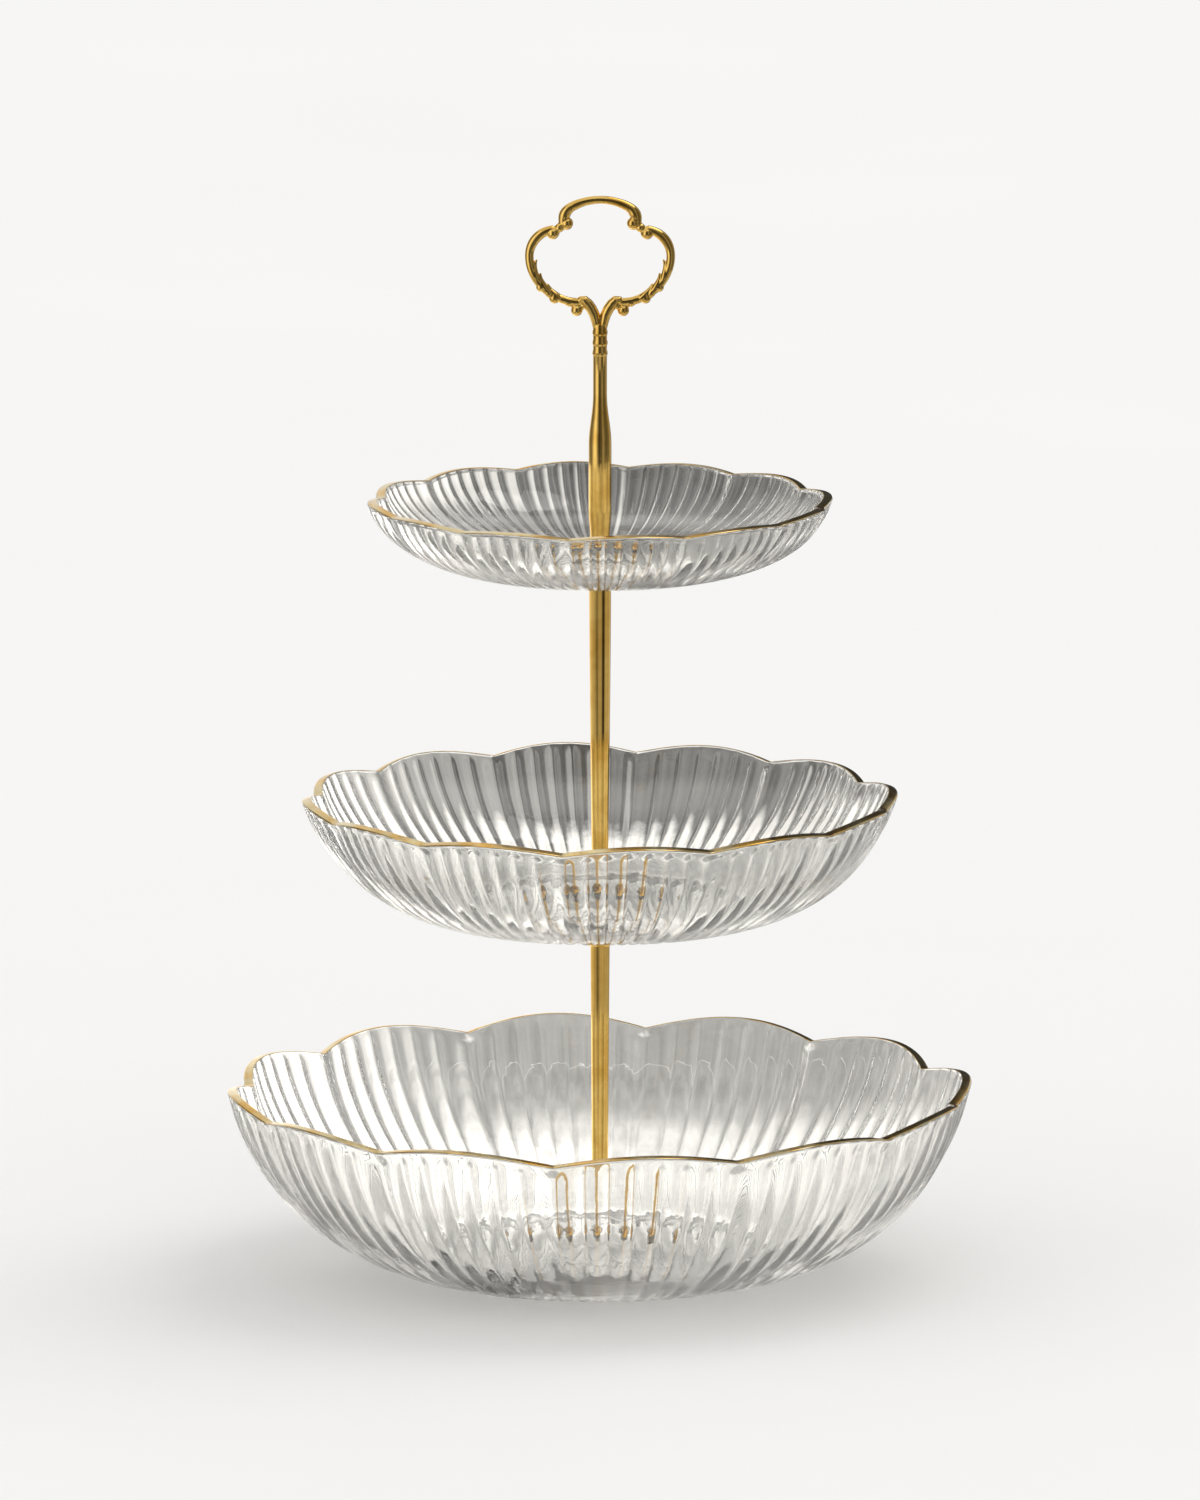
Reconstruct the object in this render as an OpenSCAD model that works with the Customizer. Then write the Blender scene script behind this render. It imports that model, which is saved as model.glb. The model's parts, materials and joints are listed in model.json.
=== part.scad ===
// Three-tier glass cake stand: fluted petal-edged bowls clamped on turned brass rods, with a cast carrying ring.
// The stand is built up from its foot: z = 0 is the table, and the column runs up the Z axis.

/* [Bottom bowl] */
// Radius of the rim where two petals meet
bottom_rim_r = 129.6; // [115:0.1:160]
// Height of the rim above the foot, where two petals meet
bottom_rim_h = 63.5; // [50:0.5:80]
// Outer radius of the flat base
bottom_foot_r = 52.4; // [45:0.1:64]
// How far a petal's tip stands out past the meeting points
bottom_petal_out = 5.4; // [0:0.1:8]
// How far a petal's tip stands above the meeting points
bottom_petal_up = 4.5; // [0:0.1:7]
// Angle that the wall's curve turns through, from the base to the rim
bottom_sweep = 82; // [65:1:88]
// Depth of the recess under the base
bottom_recess = 4.6; // [4.4:0.1:7]

/* [Middle bowl] */
// Radius of the rim where two petals meet
middle_rim_r = 104.1; // [90:0.1:125]
// Height of the rim above the foot, where two petals meet
middle_rim_h = 42.3; // [36:0.1:55]
// Outer radius of the flat base
middle_foot_r = 47.2; // [38:0.1:57]
// How far a petal's tip stands out past the meeting points
middle_petal_out = 3.8; // [0:0.1:6]
// How far a petal's tip stands above the meeting points
middle_petal_up = 3; // [0:0.1:5]
// Angle that the wall's curve turns through, from the base to the rim
middle_sweep = 75; // [60:1:88]
// Depth of the recess under the base
middle_recess = 2.5; // [2:0.1:4]

/* [Top bowl] */
// Radius of the rim where two petals meet
top_rim_r = 81.1; // [68:0.1:98]
// Height of the rim above the foot, where two petals meet
top_rim_h = 25.8; // [23:0.1:36]
// Outer radius of the flat base
top_foot_r = 33.2; // [28:0.1:41]
// How far a petal's tip stands out past the meeting points
top_petal_out = 2.9; // [0:0.1:5]
// How far a petal's tip stands above the meeting points
top_petal_up = 1.6; // [0:0.1:3]
// Angle that the wall's curve turns through, from the base to the rim
top_sweep = 86; // [65:1:88]
// Depth of the recess under the base
top_recess = 2; // [1.6:0.1:3]

/* [Glass] */
// Petals round each bowl
petals = 12; // [8:1:16]
// Angle about Z, from +X, of one meeting point of two petals
petal_turn = 22.5; // [0:0.5:30]
// Thickness of the glass at the rim
rim_wall = 3.8; // [3:0.1:5]
// Thickness of the glass floor round the hole
floor_wall = 4.4; // [3.5:0.1:6]
// Width of the ring that each bowl rests on
foot_width = 7; // [5:0.1:9]
// Radius of the hole in the middle of each bowl
glass_hole_r = 4; // [3:0.1:5]

/* [Column] */
// Length of the lower rod, between its washers
lower_rod_len = 117.4; // [90:0.1:150]
// Length of the upper rod, between its washers
upper_rod_len = 116.8; // [85:0.1:150]
// Diameter of the lower rod at its top
lower_rod_top_d = 7.2; // [6.6:0.1:9]
// Diameter of the lower rod at its foot
lower_rod_foot_d = 5.6; // [5.4:0.1:6.6]
// Diameter of the upper rod at its top
upper_rod_top_d = 8; // [7:0.1:10]
// Diameter of the upper rod at its foot
upper_rod_foot_d = 5.6; // [5.4:0.1:7]
// How far the collars on the rods' heads stand out from the thicker rod
collar_lip = 0.8; // [0.6:0.1:2]
// Height of the collar on the lower rod
middle_collar_h = 9.4; // [3:0.1:14]
// Height of the collar on the upper rod
top_collar_h = 3.4; // [2:0.1:6]

/* [Fasteners] */
// Thread diameter of the studs and the base screw
thread_d = 4; // [3:0.1:4.4]
// Pitch of that thread
thread_pitch = 0.7; // [0.5:0.05:0.8]
// Turns of thread that hold each joint of the column
thread_turns = 10; // [6:1:12]
// Diameter of the soft washers
pad_d = 18; // [14:0.5:24]
// Thickness of the soft washers
pad_t = 1; // [0.6:0.1:1.2]
// Diameter of the metal washers under the glass
washer_d = 15; // [12:0.5:20]
// Thickness of the metal washers
washer_t = 1.2; // [0.8:0.1:1.4]
// Diameter of the domed washers above the glass
rosette_d = 20; // [16:0.5:26]
// Diameter of the base screw's head
screw_head_d = 9; // [7:0.5:11]
// Height of the base screw's head
screw_head_h = 1.6; // [1.2:0.1:1.8]
// Hexagon socket of the base screw, across its corners
screw_socket_d = 2.9; // [2:0.1:3]

/* [Handle] */
// Height of the handle, from the top washer to the crown of the ring
handle_h = 128.6; // [107:0.1:155]
// Overall width of the ring, which sets all its curves
ring_w = 53.6; // [44.6:0.1:64.4]
// Thickness of the ring's bar
ring_bar_d = 2.8; // [2:0.1:3.4]
// Diameter of the stem where it is slimmest
stem_neck_d = 5.5; // [5.2:0.1:6.5]
// Diameter of the stem where it swells
stem_swell_d = 8.2; // [7.5:0.1:10]
// Height of the top of the swell, as a share of the stem below the fork
stem_swell_share = 0.466; // [0.4:0.01:0.55]

/* [Fits] */
// Radial clearance of a thread in its tapped hole
thread_gap = 0.05; // [0.03:0.01:0.1]
// Radial clearance of a washer on a stud
washer_gap = 0.2; // [0.1:0.05:0.3]

/* [Hidden] */

$fn = 96;
PETAL_STEPS = 6;        // straight steps along one petal
WALL_STEPS = 8;         // straight steps up a bowl's wall
ROD_STEPS = 10;         // straight steps along a rod's taper
SHELL_LIFT = 0.8;       // height of the bowl's wall above the resting ring
SHELL_STEP = 0.2;       // the wall's inner edge stands this far above the floor, so the two don't share a face
SHELL_OVER = 1.2;       // how far the floor reaches into the wall
TAPER_POWER = 1.3;      // how late a rod's taper sets in
LOWER_TAPER_POWER = 0.8;
CHAMFER = 0.5;
SOCKET_SIDES = 6;
BAR_FACETS = 32;

// Column, from the table up
thread_r = thread_d / 2;
tapped_r = thread_r + thread_gap;
washer_hole_r = thread_r + washer_gap;
thread_len = thread_pitch * thread_turns;
bore_len = thread_len + 1;
pack_h = pad_t + washer_t;

bottom_floor_z = bottom_recess + floor_wall;
lower_rod_z = bottom_floor_z + pack_h;
lower_rod_end_z = lower_rod_z + lower_rod_len;
middle_under_z = lower_rod_end_z + pack_h;
middle_bowl_z = middle_under_z - middle_recess;
middle_floor_z = middle_under_z + floor_wall;
upper_rod_z = middle_floor_z + pack_h;
upper_rod_end_z = upper_rod_z + upper_rod_len;
top_under_z = upper_rod_end_z + pack_h;
top_bowl_z = top_under_z - top_recess;
top_floor_z = top_under_z + floor_wall;
handle_z = top_floor_z + pack_h;

GLASS = "lightcyan";
GOLD = "goldenrod";
SILICONE = "gainsboro";
STEEL = "silver";

// 0 where two petals meet, 1 at a petal's tip
function petal(turn) = abs(sin((turn - petal_turn) * petals / 2));
// Share of the way out, and of the way up, after a share s of the wall's curve
function way_out(s, sweep) = sin(sweep * s) / sin(sweep);
function way_up(s, sweep) = (1 - cos(sweep * s)) / (1 - cos(sweep));
// The wall's outer face as [radius, height], before the petals
function wall_out(s, foot_r, rim_r, rim_h, sweep) =
    [foot_r + (rim_r - foot_r) * way_out(s, sweep), SHELL_LIFT + (rim_h - SHELL_LIFT) * way_up(s, sweep)];
// The direction from that face into the bowl
function wall_in_dir(s, foot_r, rim_r, rim_h, sweep) =
    let(run = (rim_r - foot_r) * cos(sweep * s) / sin(sweep),
        rise = (rim_h - SHELL_LIFT) * sin(sweep * s) / (1 - cos(sweep)))
    [-rise, run] / norm([run, rise]);
// Glass thickness: full at the rim, growing to the floor's depth at the foot
function wall_t(s, foot_t) = rim_wall + (foot_t - rim_wall) * pow(1 - s, 2);

// The wall of a bowl as one closed ring: up the outer face, over the rim, down the inner face
module bowl_wall(foot_r, rim_r, rim_h, petal_out, petal_up, sweep, floor_h) {
    foot_t = floor_h + SHELL_STEP - SHELL_LIFT;
    inner_r = foot_r - foot_width / 2;
    outer = [for (i = [0 : WALL_STEPS]) let(s = i / WALL_STEPS)
        [s, wall_out(s, foot_r, rim_r, rim_h, sweep)]];
    inner = [for (i = [WALL_STEPS : -1 : 0]) let(s = i / WALL_STEPS)
        [s, wall_out(s, foot_r, rim_r, rim_h, sweep)
            + wall_t(s, foot_t) * wall_in_dir(s, foot_r, rim_r, rim_h, sweep)]];
    outline = concat(outer, inner,
        [[0, [inner_r, floor_h + SHELL_STEP]], [0, [inner_r, SHELL_LIFT]]]);
    rings = len(outline);
    around = petals * PETAL_STEPS;
    points = [for (p = outline) for (j = [0 : around - 1])
        let(turn = petal_turn + 360 * j / around, lift = petal(turn),
            r = p[1][0] + petal_out * lift * pow(p[0], 2),
            z = p[1][1] + petal_up * lift * pow(p[0], 3))
        [r * cos(turn), r * sin(turn), z]];
    faces = [for (i = [0 : rings - 1]) for (j = [0 : around - 1])
        let(a = i * around + j, b = i * around + (j + 1) % around,
            c = ((i + 1) % rings) * around + (j + 1) % around, d = ((i + 1) % rings) * around + j)
        each [[a, d, c], [a, c, b]]];
    polyhedron(points, faces, convexity = 6);
}

// The turned middle of a bowl: resting ring, recess, floor and hole
module bowl_base(foot_r, recess, floor_h) {
    ring_r = foot_r - SHELL_STEP;
    recess_r = foot_r - foot_width;
    floor_r = foot_r - foot_width / 2 + SHELL_OVER;
    rotate_extrude()
        polygon([[glass_hole_r, recess], [recess_r, recess], [recess_r, 0], [ring_r, 0],
            [ring_r, SHELL_LIFT + SHELL_OVER], [floor_r, SHELL_LIFT + SHELL_OVER],
            [floor_r, floor_h], [glass_hole_r, floor_h]]);
}

module bowl(foot_r, rim_r, rim_h, petal_out, petal_up, sweep, recess) {
    floor_h = recess + floor_wall;
    color(GLASS, 0.5)
        union() {
            bowl_wall(foot_r, rim_r, rim_h, petal_out, petal_up, sweep, floor_h);
            bowl_base(foot_r, recess, floor_h);
        }
}

module ring_washer(d, t) {
    rotate_extrude()
        translate([washer_hole_r, 0])
            square([d / 2 - washer_hole_r, t]);
}

module soft_washer() { color(SILICONE) ring_washer(pad_d, pad_t); }

module metal_washer() { color(GOLD) ring_washer(washer_d, washer_t); }

// Washer with a bevelled edge, for the side that shows
module domed_washer() {
    color(GOLD)
        rotate_extrude()
            polygon([[washer_hole_r, 0], [rosette_d / 2, 0], [rosette_d / 2, washer_t / 3],
                [rosette_d / 2 - 2 * washer_t, washer_t], [washer_hole_r, washer_t]]);
}

// Tapered rod with a tapped hole in each end
module rod(len, top_d, foot_d, power) {
    taper = [for (i = [0 : ROD_STEPS]) let(s = i / ROD_STEPS)
        [(foot_d + (top_d - foot_d) * (1 - pow(1 - s, power))) / 2, s * len]];
    color(GOLD)
        rotate_extrude()
            polygon(concat([[0, bore_len], [tapped_r, bore_len], [tapped_r, 0]], taper,
                [[tapped_r, len], [tapped_r, len - bore_len], [0, len - bore_len]]));
}

collar_d = max(lower_rod_top_d, upper_rod_top_d) + 2 * collar_lip;

// Collar on the head of a rod. Its bore is as wide as the rod at its widest, so it slips on from above.
module collar(rod_top_d, h) {
    color(GOLD)
        rotate_extrude()
            polygon([[rod_top_d / 2, -h], [collar_d / 2 - CHAMFER, -h], [collar_d / 2, CHAMFER - h],
                [collar_d / 2, -CHAMFER], [collar_d / 2 - CHAMFER, 0], [rod_top_d / 2, 0]]);
}

// Double-ended stud: it fills the tapped hole above it and hangs through the bowl into the rod below
module stud(up_z, down_z) {
    color(STEEL)
        translate([0, 0, down_z]) {
            cylinder(r1 = thread_r - CHAMFER, r2 = thread_r, h = CHAMFER);
            translate([0, 0, CHAMFER])
                cylinder(r = thread_r, h = up_z - down_z - CHAMFER);
        }
}

module base_screw() {
    head_z = bottom_recess - pack_h;
    color(STEEL)
        difference() {
            union() {
                translate([0, 0, head_z - screw_head_h])
                    cylinder(d = screw_head_d, h = screw_head_h);
                translate([0, 0, head_z - CHAMFER])
                    cylinder(r = thread_r, h = lower_rod_z + thread_len - head_z + CHAMFER);
            }
            translate([0, 0, head_z - screw_head_h - CHAMFER])
                cylinder(d = screw_socket_d, h = screw_head_h + CHAMFER, $fn = SOCKET_SIDES);
        }
}

// ---- Handle: one casting, drawn with z = 0 at its foot ----
RING_DRAWN_W = 53.6;                // the width at which the ring's curves below are drawn
CROWN_TURN = 28;                    // angle of the top arch, either side of its middle
SIDE_END = 275;                     // where a side's sweep runs into the fork
SHOULDER_END = 74;
CORNER_END = 190;
ring_scale = ring_w / RING_DRAWN_W;
ring_drop = 21.6 * ring_scale;      // from the crown to the ring's widest part
fork_drop = 24.4 * ring_scale;      // from there to where the two halves of the fork meet
side_r = 18 * ring_scale;           // sweep of each side below its widest point
shoulder_r = 8.5 * ring_scale;      // curl of each side above it
crown_r = 21 * ring_scale;          // top arch
corner_r = 6 * ring_scale;          // where the arch turns down

bar_r = ring_bar_d / 2;
side_x = ring_w / 2 - bar_r;        // where the bar is furthest out
ring_z = handle_h - ring_drop;
fork_z = ring_z - fork_drop;
crown_z = handle_h - bar_r - crown_r;
corner_x = -(crown_r - corner_r) * sin(CROWN_TURN);
corner_z = crown_z + (crown_r - corner_r) * cos(CROWN_TURN);
side_cx = side_r - side_x;
shoulder_cx = shoulder_r - side_x;
side_end = [side_cx + side_r * cos(SIDE_END), ring_z + side_r * sin(SIDE_END)];

FORK_R = 1.8;
FORK_BEAD_R = 2.3;
BEAD_OVER = 0.25;                   // how far a bead stands out from the bar it's on
// Scrolls and the link between arch and side, each as [x, z, radius]
CORNER_SCROLL = [corner_x - corner_r + 1.3, corner_z - 0.7, 2.5];
SHOULDER_SCROLL = [shoulder_cx + 0.1, ring_z + shoulder_r - 2, 2.4];
FORK_SCROLL = [side_end[0] - 2.8, side_end[1] - 2.6, 2.2];
LINK = [corner_x - corner_r - 0.9, corner_z - 2.5, 2.1];
// Leaf tips, each as [angle at the bar, angle at the tip, radius at the bar]
LEAVES = [[203, 187, 1.4], [219, 204, 1.6], [231, 218, 1.4]];
LEAF_REACH = 2.6;
LEAF_TIP_R = 0.4;

// Stem
STEM_FOOT_LIP = 0.6;                // how far the stem's foot stands out from its swell
STEM_FOOT_H = 1.2;
STEM_COVE_Z = [3, 9];               // waist between the foot and the swell
STEM_COVE_LIP = 0.2;
STEM_SWELL_Z = [12, 15];            // where the swell is nearly, and then quite, full
STEM_SWELL_EASE = 0.4;
STEM_SLOPE_SHARE = 0.55;            // share of the way from the swell to the neck's rings
STEM_SLOPE_STEPS = 6;
NECK_RINGS = 3;
NECK_RING_GAP = 3.7;
NECK_RING_LIP = 0.35;
NECK_RING_H = [0.5, 1.1];           // half height of a ring at its face and at its root
NECK_RINGS_DROP = 10.4;             // from the fork to the lowest ring
neck_r = stem_neck_d / 2;
swell_r = stem_swell_d / 2;
swell_top_z = stem_swell_share * fork_z;
neck_rings_z = fork_z - NECK_RINGS_DROP;
slope_end_z = swell_top_z + STEM_SLOPE_SHARE * (neck_rings_z - swell_top_z);

// Round bar along an arc in the plane of the ring
module bar_arc(cx, cz, r, from, to) {
    translate([cx, 0, cz])
        rotate([90, 0, 0])
            rotate([0, 0, from])
                rotate_extrude(angle = to - from)
                    translate([r, 0])
                        circle(r = bar_r, $fn = BAR_FACETS);
}

module ball(place, r = 0) {
    translate([place[0], 0, place[1]])
        sphere(r = r > 0 ? r : place[2], $fn = BAR_FACETS);
}

// Round bar from one point to another in the plane of the ring
module bar(from, to, r1, r2) {
    run = to - from;
    translate([from[0], 0, from[1]])
        rotate([0, atan2(run[0], run[1]), 0])
            cylinder(r1 = r1, r2 = r2, h = norm(run), $fn = BAR_FACETS);
}

// Left half of the ring
module ring_half() {
    bar_arc(0, crown_z, crown_r, 90, 90 + CROWN_TURN);
    bar_arc(corner_x, corner_z, corner_r, 90 + CROWN_TURN, CORNER_END);
    bar_arc(shoulder_cx, ring_z, shoulder_r, SHOULDER_END, 180);
    bar_arc(side_cx, ring_z, side_r, 180, SIDE_END);
    for (scroll = [CORNER_SCROLL, SHOULDER_SCROLL, FORK_SCROLL, LINK])
        ball(scroll);
    // beads where two arcs of the bar meet
    ball([-crown_r * sin(CROWN_TURN), crown_z + crown_r * cos(CROWN_TURN)], bar_r + BEAD_OVER);
    ball([-side_x, ring_z], bar_r + BEAD_OVER);
    ball(side_end, FORK_BEAD_R);
    bar(side_end, [0, fork_z], FORK_R, FORK_R);
    for (leaf = LEAVES)
        bar([side_cx + side_r * cos(leaf[0]), ring_z + side_r * sin(leaf[0])],
            [side_cx + (side_r - LEAF_REACH) * cos(leaf[1]), ring_z + (side_r - LEAF_REACH) * sin(leaf[1])],
            leaf[2], LEAF_TIP_R);
}

module stem() {
    slope = [for (i = [0 : STEM_SLOPE_STEPS]) let(s = i / STEM_SLOPE_STEPS)
        [neck_r + (swell_r - neck_r) * (1 + cos(180 * s)) / 2, swell_top_z + (slope_end_z - swell_top_z) * s]];
    rings = [for (i = [0 : NECK_RINGS - 1]) let(z = neck_rings_z + NECK_RING_GAP * i)
        each [[neck_r, z - NECK_RING_H[1]], [neck_r + NECK_RING_LIP, z - NECK_RING_H[0]],
            [neck_r + NECK_RING_LIP, z + NECK_RING_H[0]], [neck_r, z + NECK_RING_H[1]]]];
    rotate_extrude()
        polygon(concat([[0, bore_len], [tapped_r, bore_len], [tapped_r, 0],
            [swell_r + STEM_FOOT_LIP, 0], [swell_r + STEM_FOOT_LIP, STEM_FOOT_H],
            [neck_r + STEM_COVE_LIP, STEM_COVE_Z[0]], [neck_r + STEM_COVE_LIP, STEM_COVE_Z[1]],
            [swell_r - STEM_SWELL_EASE, STEM_SWELL_Z[0]], [swell_r, STEM_SWELL_Z[1]]],
            slope, rings, [[neck_r, fork_z], [0, fork_z]]));
}

module handle() {
    color(GOLD)
        translate([0, 0, handle_z])
            union() {
                stem();
                ring_half();
                mirror([1, 0, 0])
                    ring_half();
            }
}

bowl(bottom_foot_r, bottom_rim_r, bottom_rim_h, bottom_petal_out, bottom_petal_up, bottom_sweep, bottom_recess);  // bottom_bowl
base_screw();
translate([0, 0, bottom_recess - pack_h]) metal_washer();  // base_washer
translate([0, 0, bottom_recess - pad_t]) soft_washer();  // base_pad
translate([0, 0, bottom_floor_z]) soft_washer();  // bottom_pad
translate([0, 0, bottom_floor_z + pad_t]) domed_washer();  // bottom_rosette
translate([0, 0, lower_rod_z]) rod(lower_rod_len, lower_rod_top_d, lower_rod_foot_d, LOWER_TAPER_POWER);  // lower_rod
translate([0, 0, lower_rod_end_z]) collar(lower_rod_top_d, middle_collar_h);  // middle_collar
translate([0, 0, lower_rod_end_z]) metal_washer();  // middle_washer
translate([0, 0, middle_under_z - pad_t]) soft_washer();  // middle_under_pad
translate([0, 0, middle_bowl_z])  // middle_bowl
        bowl(middle_foot_r, middle_rim_r, middle_rim_h, middle_petal_out, middle_petal_up, middle_sweep,
            middle_recess);
translate([0, 0, middle_floor_z]) soft_washer();  // middle_pad
translate([0, 0, middle_floor_z + pad_t]) domed_washer();  // middle_rosette
stud(upper_rod_z + bore_len, lower_rod_end_z - thread_len);  // upper_stud
translate([0, 0, upper_rod_z]) rod(upper_rod_len, upper_rod_top_d, upper_rod_foot_d, TAPER_POWER);  // upper_rod
translate([0, 0, upper_rod_end_z]) collar(upper_rod_top_d, top_collar_h);  // top_collar
translate([0, 0, upper_rod_end_z]) metal_washer();  // top_washer
translate([0, 0, top_under_z - pad_t]) soft_washer();  // top_under_pad
translate([0, 0, top_bowl_z])  // top_bowl
        bowl(top_foot_r, top_rim_r, top_rim_h, top_petal_out, top_petal_up, top_sweep, top_recess);
translate([0, 0, top_floor_z]) soft_washer();  // top_pad
translate([0, 0, top_floor_z + pad_t]) domed_washer();  // top_rosette
stud(handle_z + bore_len, upper_rod_end_z - thread_len);  // handle_stud
handle();
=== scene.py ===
"""A three-tier glass cake stand: fluted bowls with gilt rims on turned rods, under a cast ring."""

import json
import math

import bmesh
import bpy
from bpy.props import FloatProperty, FloatVectorProperty, IntProperty, PointerProperty
from mathutils import Matrix, Vector

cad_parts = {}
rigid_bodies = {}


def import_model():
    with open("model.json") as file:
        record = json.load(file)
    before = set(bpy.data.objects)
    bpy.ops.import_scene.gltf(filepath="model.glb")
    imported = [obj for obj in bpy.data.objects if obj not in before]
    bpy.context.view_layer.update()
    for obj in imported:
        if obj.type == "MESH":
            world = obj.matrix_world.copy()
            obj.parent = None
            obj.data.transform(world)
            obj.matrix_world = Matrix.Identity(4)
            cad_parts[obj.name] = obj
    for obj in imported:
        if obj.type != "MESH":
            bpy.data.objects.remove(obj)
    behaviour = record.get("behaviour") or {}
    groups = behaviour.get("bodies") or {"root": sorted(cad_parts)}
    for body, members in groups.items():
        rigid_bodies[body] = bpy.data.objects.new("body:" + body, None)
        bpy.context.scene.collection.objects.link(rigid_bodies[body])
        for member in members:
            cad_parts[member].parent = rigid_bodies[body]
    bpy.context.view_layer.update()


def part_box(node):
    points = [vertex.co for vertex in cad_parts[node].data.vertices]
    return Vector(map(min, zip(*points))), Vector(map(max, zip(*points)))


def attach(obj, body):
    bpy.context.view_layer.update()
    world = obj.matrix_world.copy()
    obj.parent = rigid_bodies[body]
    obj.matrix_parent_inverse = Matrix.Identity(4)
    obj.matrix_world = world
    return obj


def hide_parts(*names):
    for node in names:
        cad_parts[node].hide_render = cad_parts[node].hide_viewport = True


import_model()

bl_info = {
    "name": "Tiered Cake Stand",
    "version": (1, 0, 0),
    "blender": (4, 5, 0),
    "location": "3D View > Sidebar > Cake Stand",
    "description": "Builds a three-tier glass cake stand on its measured frame",
    "category": "Object",
}

# All lengths are in metres, except in the handle's drawing, which is in millimetres
MM = 0.001
TIERS = ("bottom", "middle", "top")
# How far the outer wall's curve starts above the table's face of the foot
SHELL_LIFT = 0.8 * MM
# Points nearer than this are one point
WELD = 1e-6


def cad_low(node):
    """The height of a frame node's underside."""
    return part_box(node)[0][2]


def cad_high(node):
    """The height of a frame node's top."""
    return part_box(node)[1][2]


def length(name, default, description, low=0.0, high=0.5):
    """A length that a user would change, in metres."""
    return FloatProperty(
        name=name,
        description=description,
        default=default,
        min=low,
        max=high,
        unit="LENGTH",
        precision=5,
    )


def share(name, default, description):
    """A share from 0 to 1 that a user would change."""
    return FloatProperty(
        name=name, description=description, default=default, min=0.0, max=1.0, subtype="FACTOR"
    )


def colour(name, default, description):
    """A colour that a user would change, without alpha."""
    return FloatVectorProperty(
        name=name, description=description, default=default, min=0.0, max=1.0, size=3, subtype="COLOR"
    )


class BowlSizes(bpy.types.PropertyGroup):
    """The sizes of one glass bowl."""

    rim_radius: length("Rim radius", 0.1296, "Radius of the rim where two petals meet")
    rim_height: length("Rim height", 0.0635, "Height of the rim above the foot where two petals meet")
    foot_radius: length("Foot radius", 0.0524, "Outer radius of the flat base")
    petal_out: length("Petal reach", 0.0054, "How far a petal's tip stands out past the meeting points")
    petal_up: length("Petal lift", 0.0045, "How far a petal's tip stands above the meeting points")
    sweep: FloatProperty(
        name="Wall sweep",
        description="Angle that the wall's curve turns through, from the base to the rim",
        default=math.radians(82.0),
        min=math.radians(50.0),
        max=math.radians(89.0),
        subtype="ANGLE",
    )
    recess: length("Recess", 0.0046, "Depth of the recess under the base")


class GlassSizes(bpy.types.PropertyGroup):
    """What the three bowls share."""

    petals: IntProperty(name="Petals", description="Petals round each bowl", default=12, min=6, max=20)
    petal_turn: FloatProperty(
        name="Petal turn",
        description="Angle from the X axis of one meeting point of two petals",
        default=math.radians(22.5),
        subtype="ANGLE",
    )
    flutes: IntProperty(
        name="Flutes per petal", description="Convex ribs pressed in each petal", default=7, min=3, max=12
    )
    flute_depth: share("Flute depth", 0.11, "Depth of a flute as a share of its width")
    rim_wall: length("Rim thickness", 0.0038, "Thickness of the glass at the rim")
    floor_wall: length("Floor thickness", 0.0044, "Thickness of the glass floor")
    foot_width: length("Foot width", 0.007, "Width of the ring that each bowl rests on")
    hole_radius: length("Hole radius", 0.004, "Radius of the hole that the column passes through")
    gilt_cut: FloatProperty(
        name="Gilt edge",
        description="How far up the lip's rounded corners the gilt stops",
        default=math.radians(48.0),
        subtype="ANGLE",
    )
    gilt_depth: length("Gilt thickness", 0.00008, "Thickness of the gilt line")
    tint: colour("Glass tint", (0.99, 0.992, 0.985), "Colour of the light that the glass lets through")


class MetalSizes(bpy.types.PropertyGroup):
    """The column's turned parts and its casting."""

    lower_taper: FloatProperty(
        name="Lower taper", description="How early the lower rod swells to its head", default=0.8,
        min=0.5, max=2.0,
    )
    upper_taper: FloatProperty(
        name="Upper taper", description="How early the upper rod swells to its head", default=1.3,
        min=0.5, max=2.0,
    )
    rod_foot: length("Rod foot radius", 0.0028, "Radius of each rod where it stands on its domed washer")
    lower_rod_top: length("Lower rod top radius", 0.0036, "Radius of the lower rod at its top")
    upper_rod_top: length("Upper rod top radius", 0.0040, "Radius of the upper rod at its top")
    bore: length("Tapped bore radius", 0.00205, "Radius of the tapped holes")
    thread: length("Thread radius", 0.002, "Radius over the studs' threads")
    thread_pitch: length("Thread pitch", 0.0007, "Rise of the thread in one turn")
    ring_bar: length("Ring bar radius", 0.0015, "Radius of the carrying ring's bar")
    neck: length("Neck radius", 0.0025, "Radius of the handle's stem where it is slimmest")
    swell: length("Swell radius", 0.0041, "Radius of the handle's stem where it swells")


class Finishes(bpy.types.PropertyGroup):
    """Colours of the metal and the soft washers."""

    gold: colour("Gold", (0.8, 0.53, 0.15), "Polished gold plate")
    gold_deep: colour("Deep gold", (0.66, 0.39, 0.08), "Gold plate where it lies thicker")
    gilt: colour("Gilt", (0.66, 0.55, 0.31), "Gilt line on the rims")
    silicone: colour("Silicone", (0.82, 0.84, 0.84), "Soft washers")
    steel: colour("Steel", (0.6, 0.6, 0.62), "Studs and base screw")


class StudioSettings(bpy.types.PropertyGroup):
    """The studio round the stand."""

    floor: colour("Floor", (0.86, 0.86, 0.86), "Floor and backdrop")
    sky: FloatProperty(
        name="Sky", description="Strength of the even light from all round", default=0.9, min=0.0
    )
    key: FloatProperty(name="Key", description="Strength of the soft key light", default=0.7, min=0.0)
    tent: FloatProperty(
        name="Tent", description="Brightness of the cards that glass and metal show", default=1.0, min=0.0
    )


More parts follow.
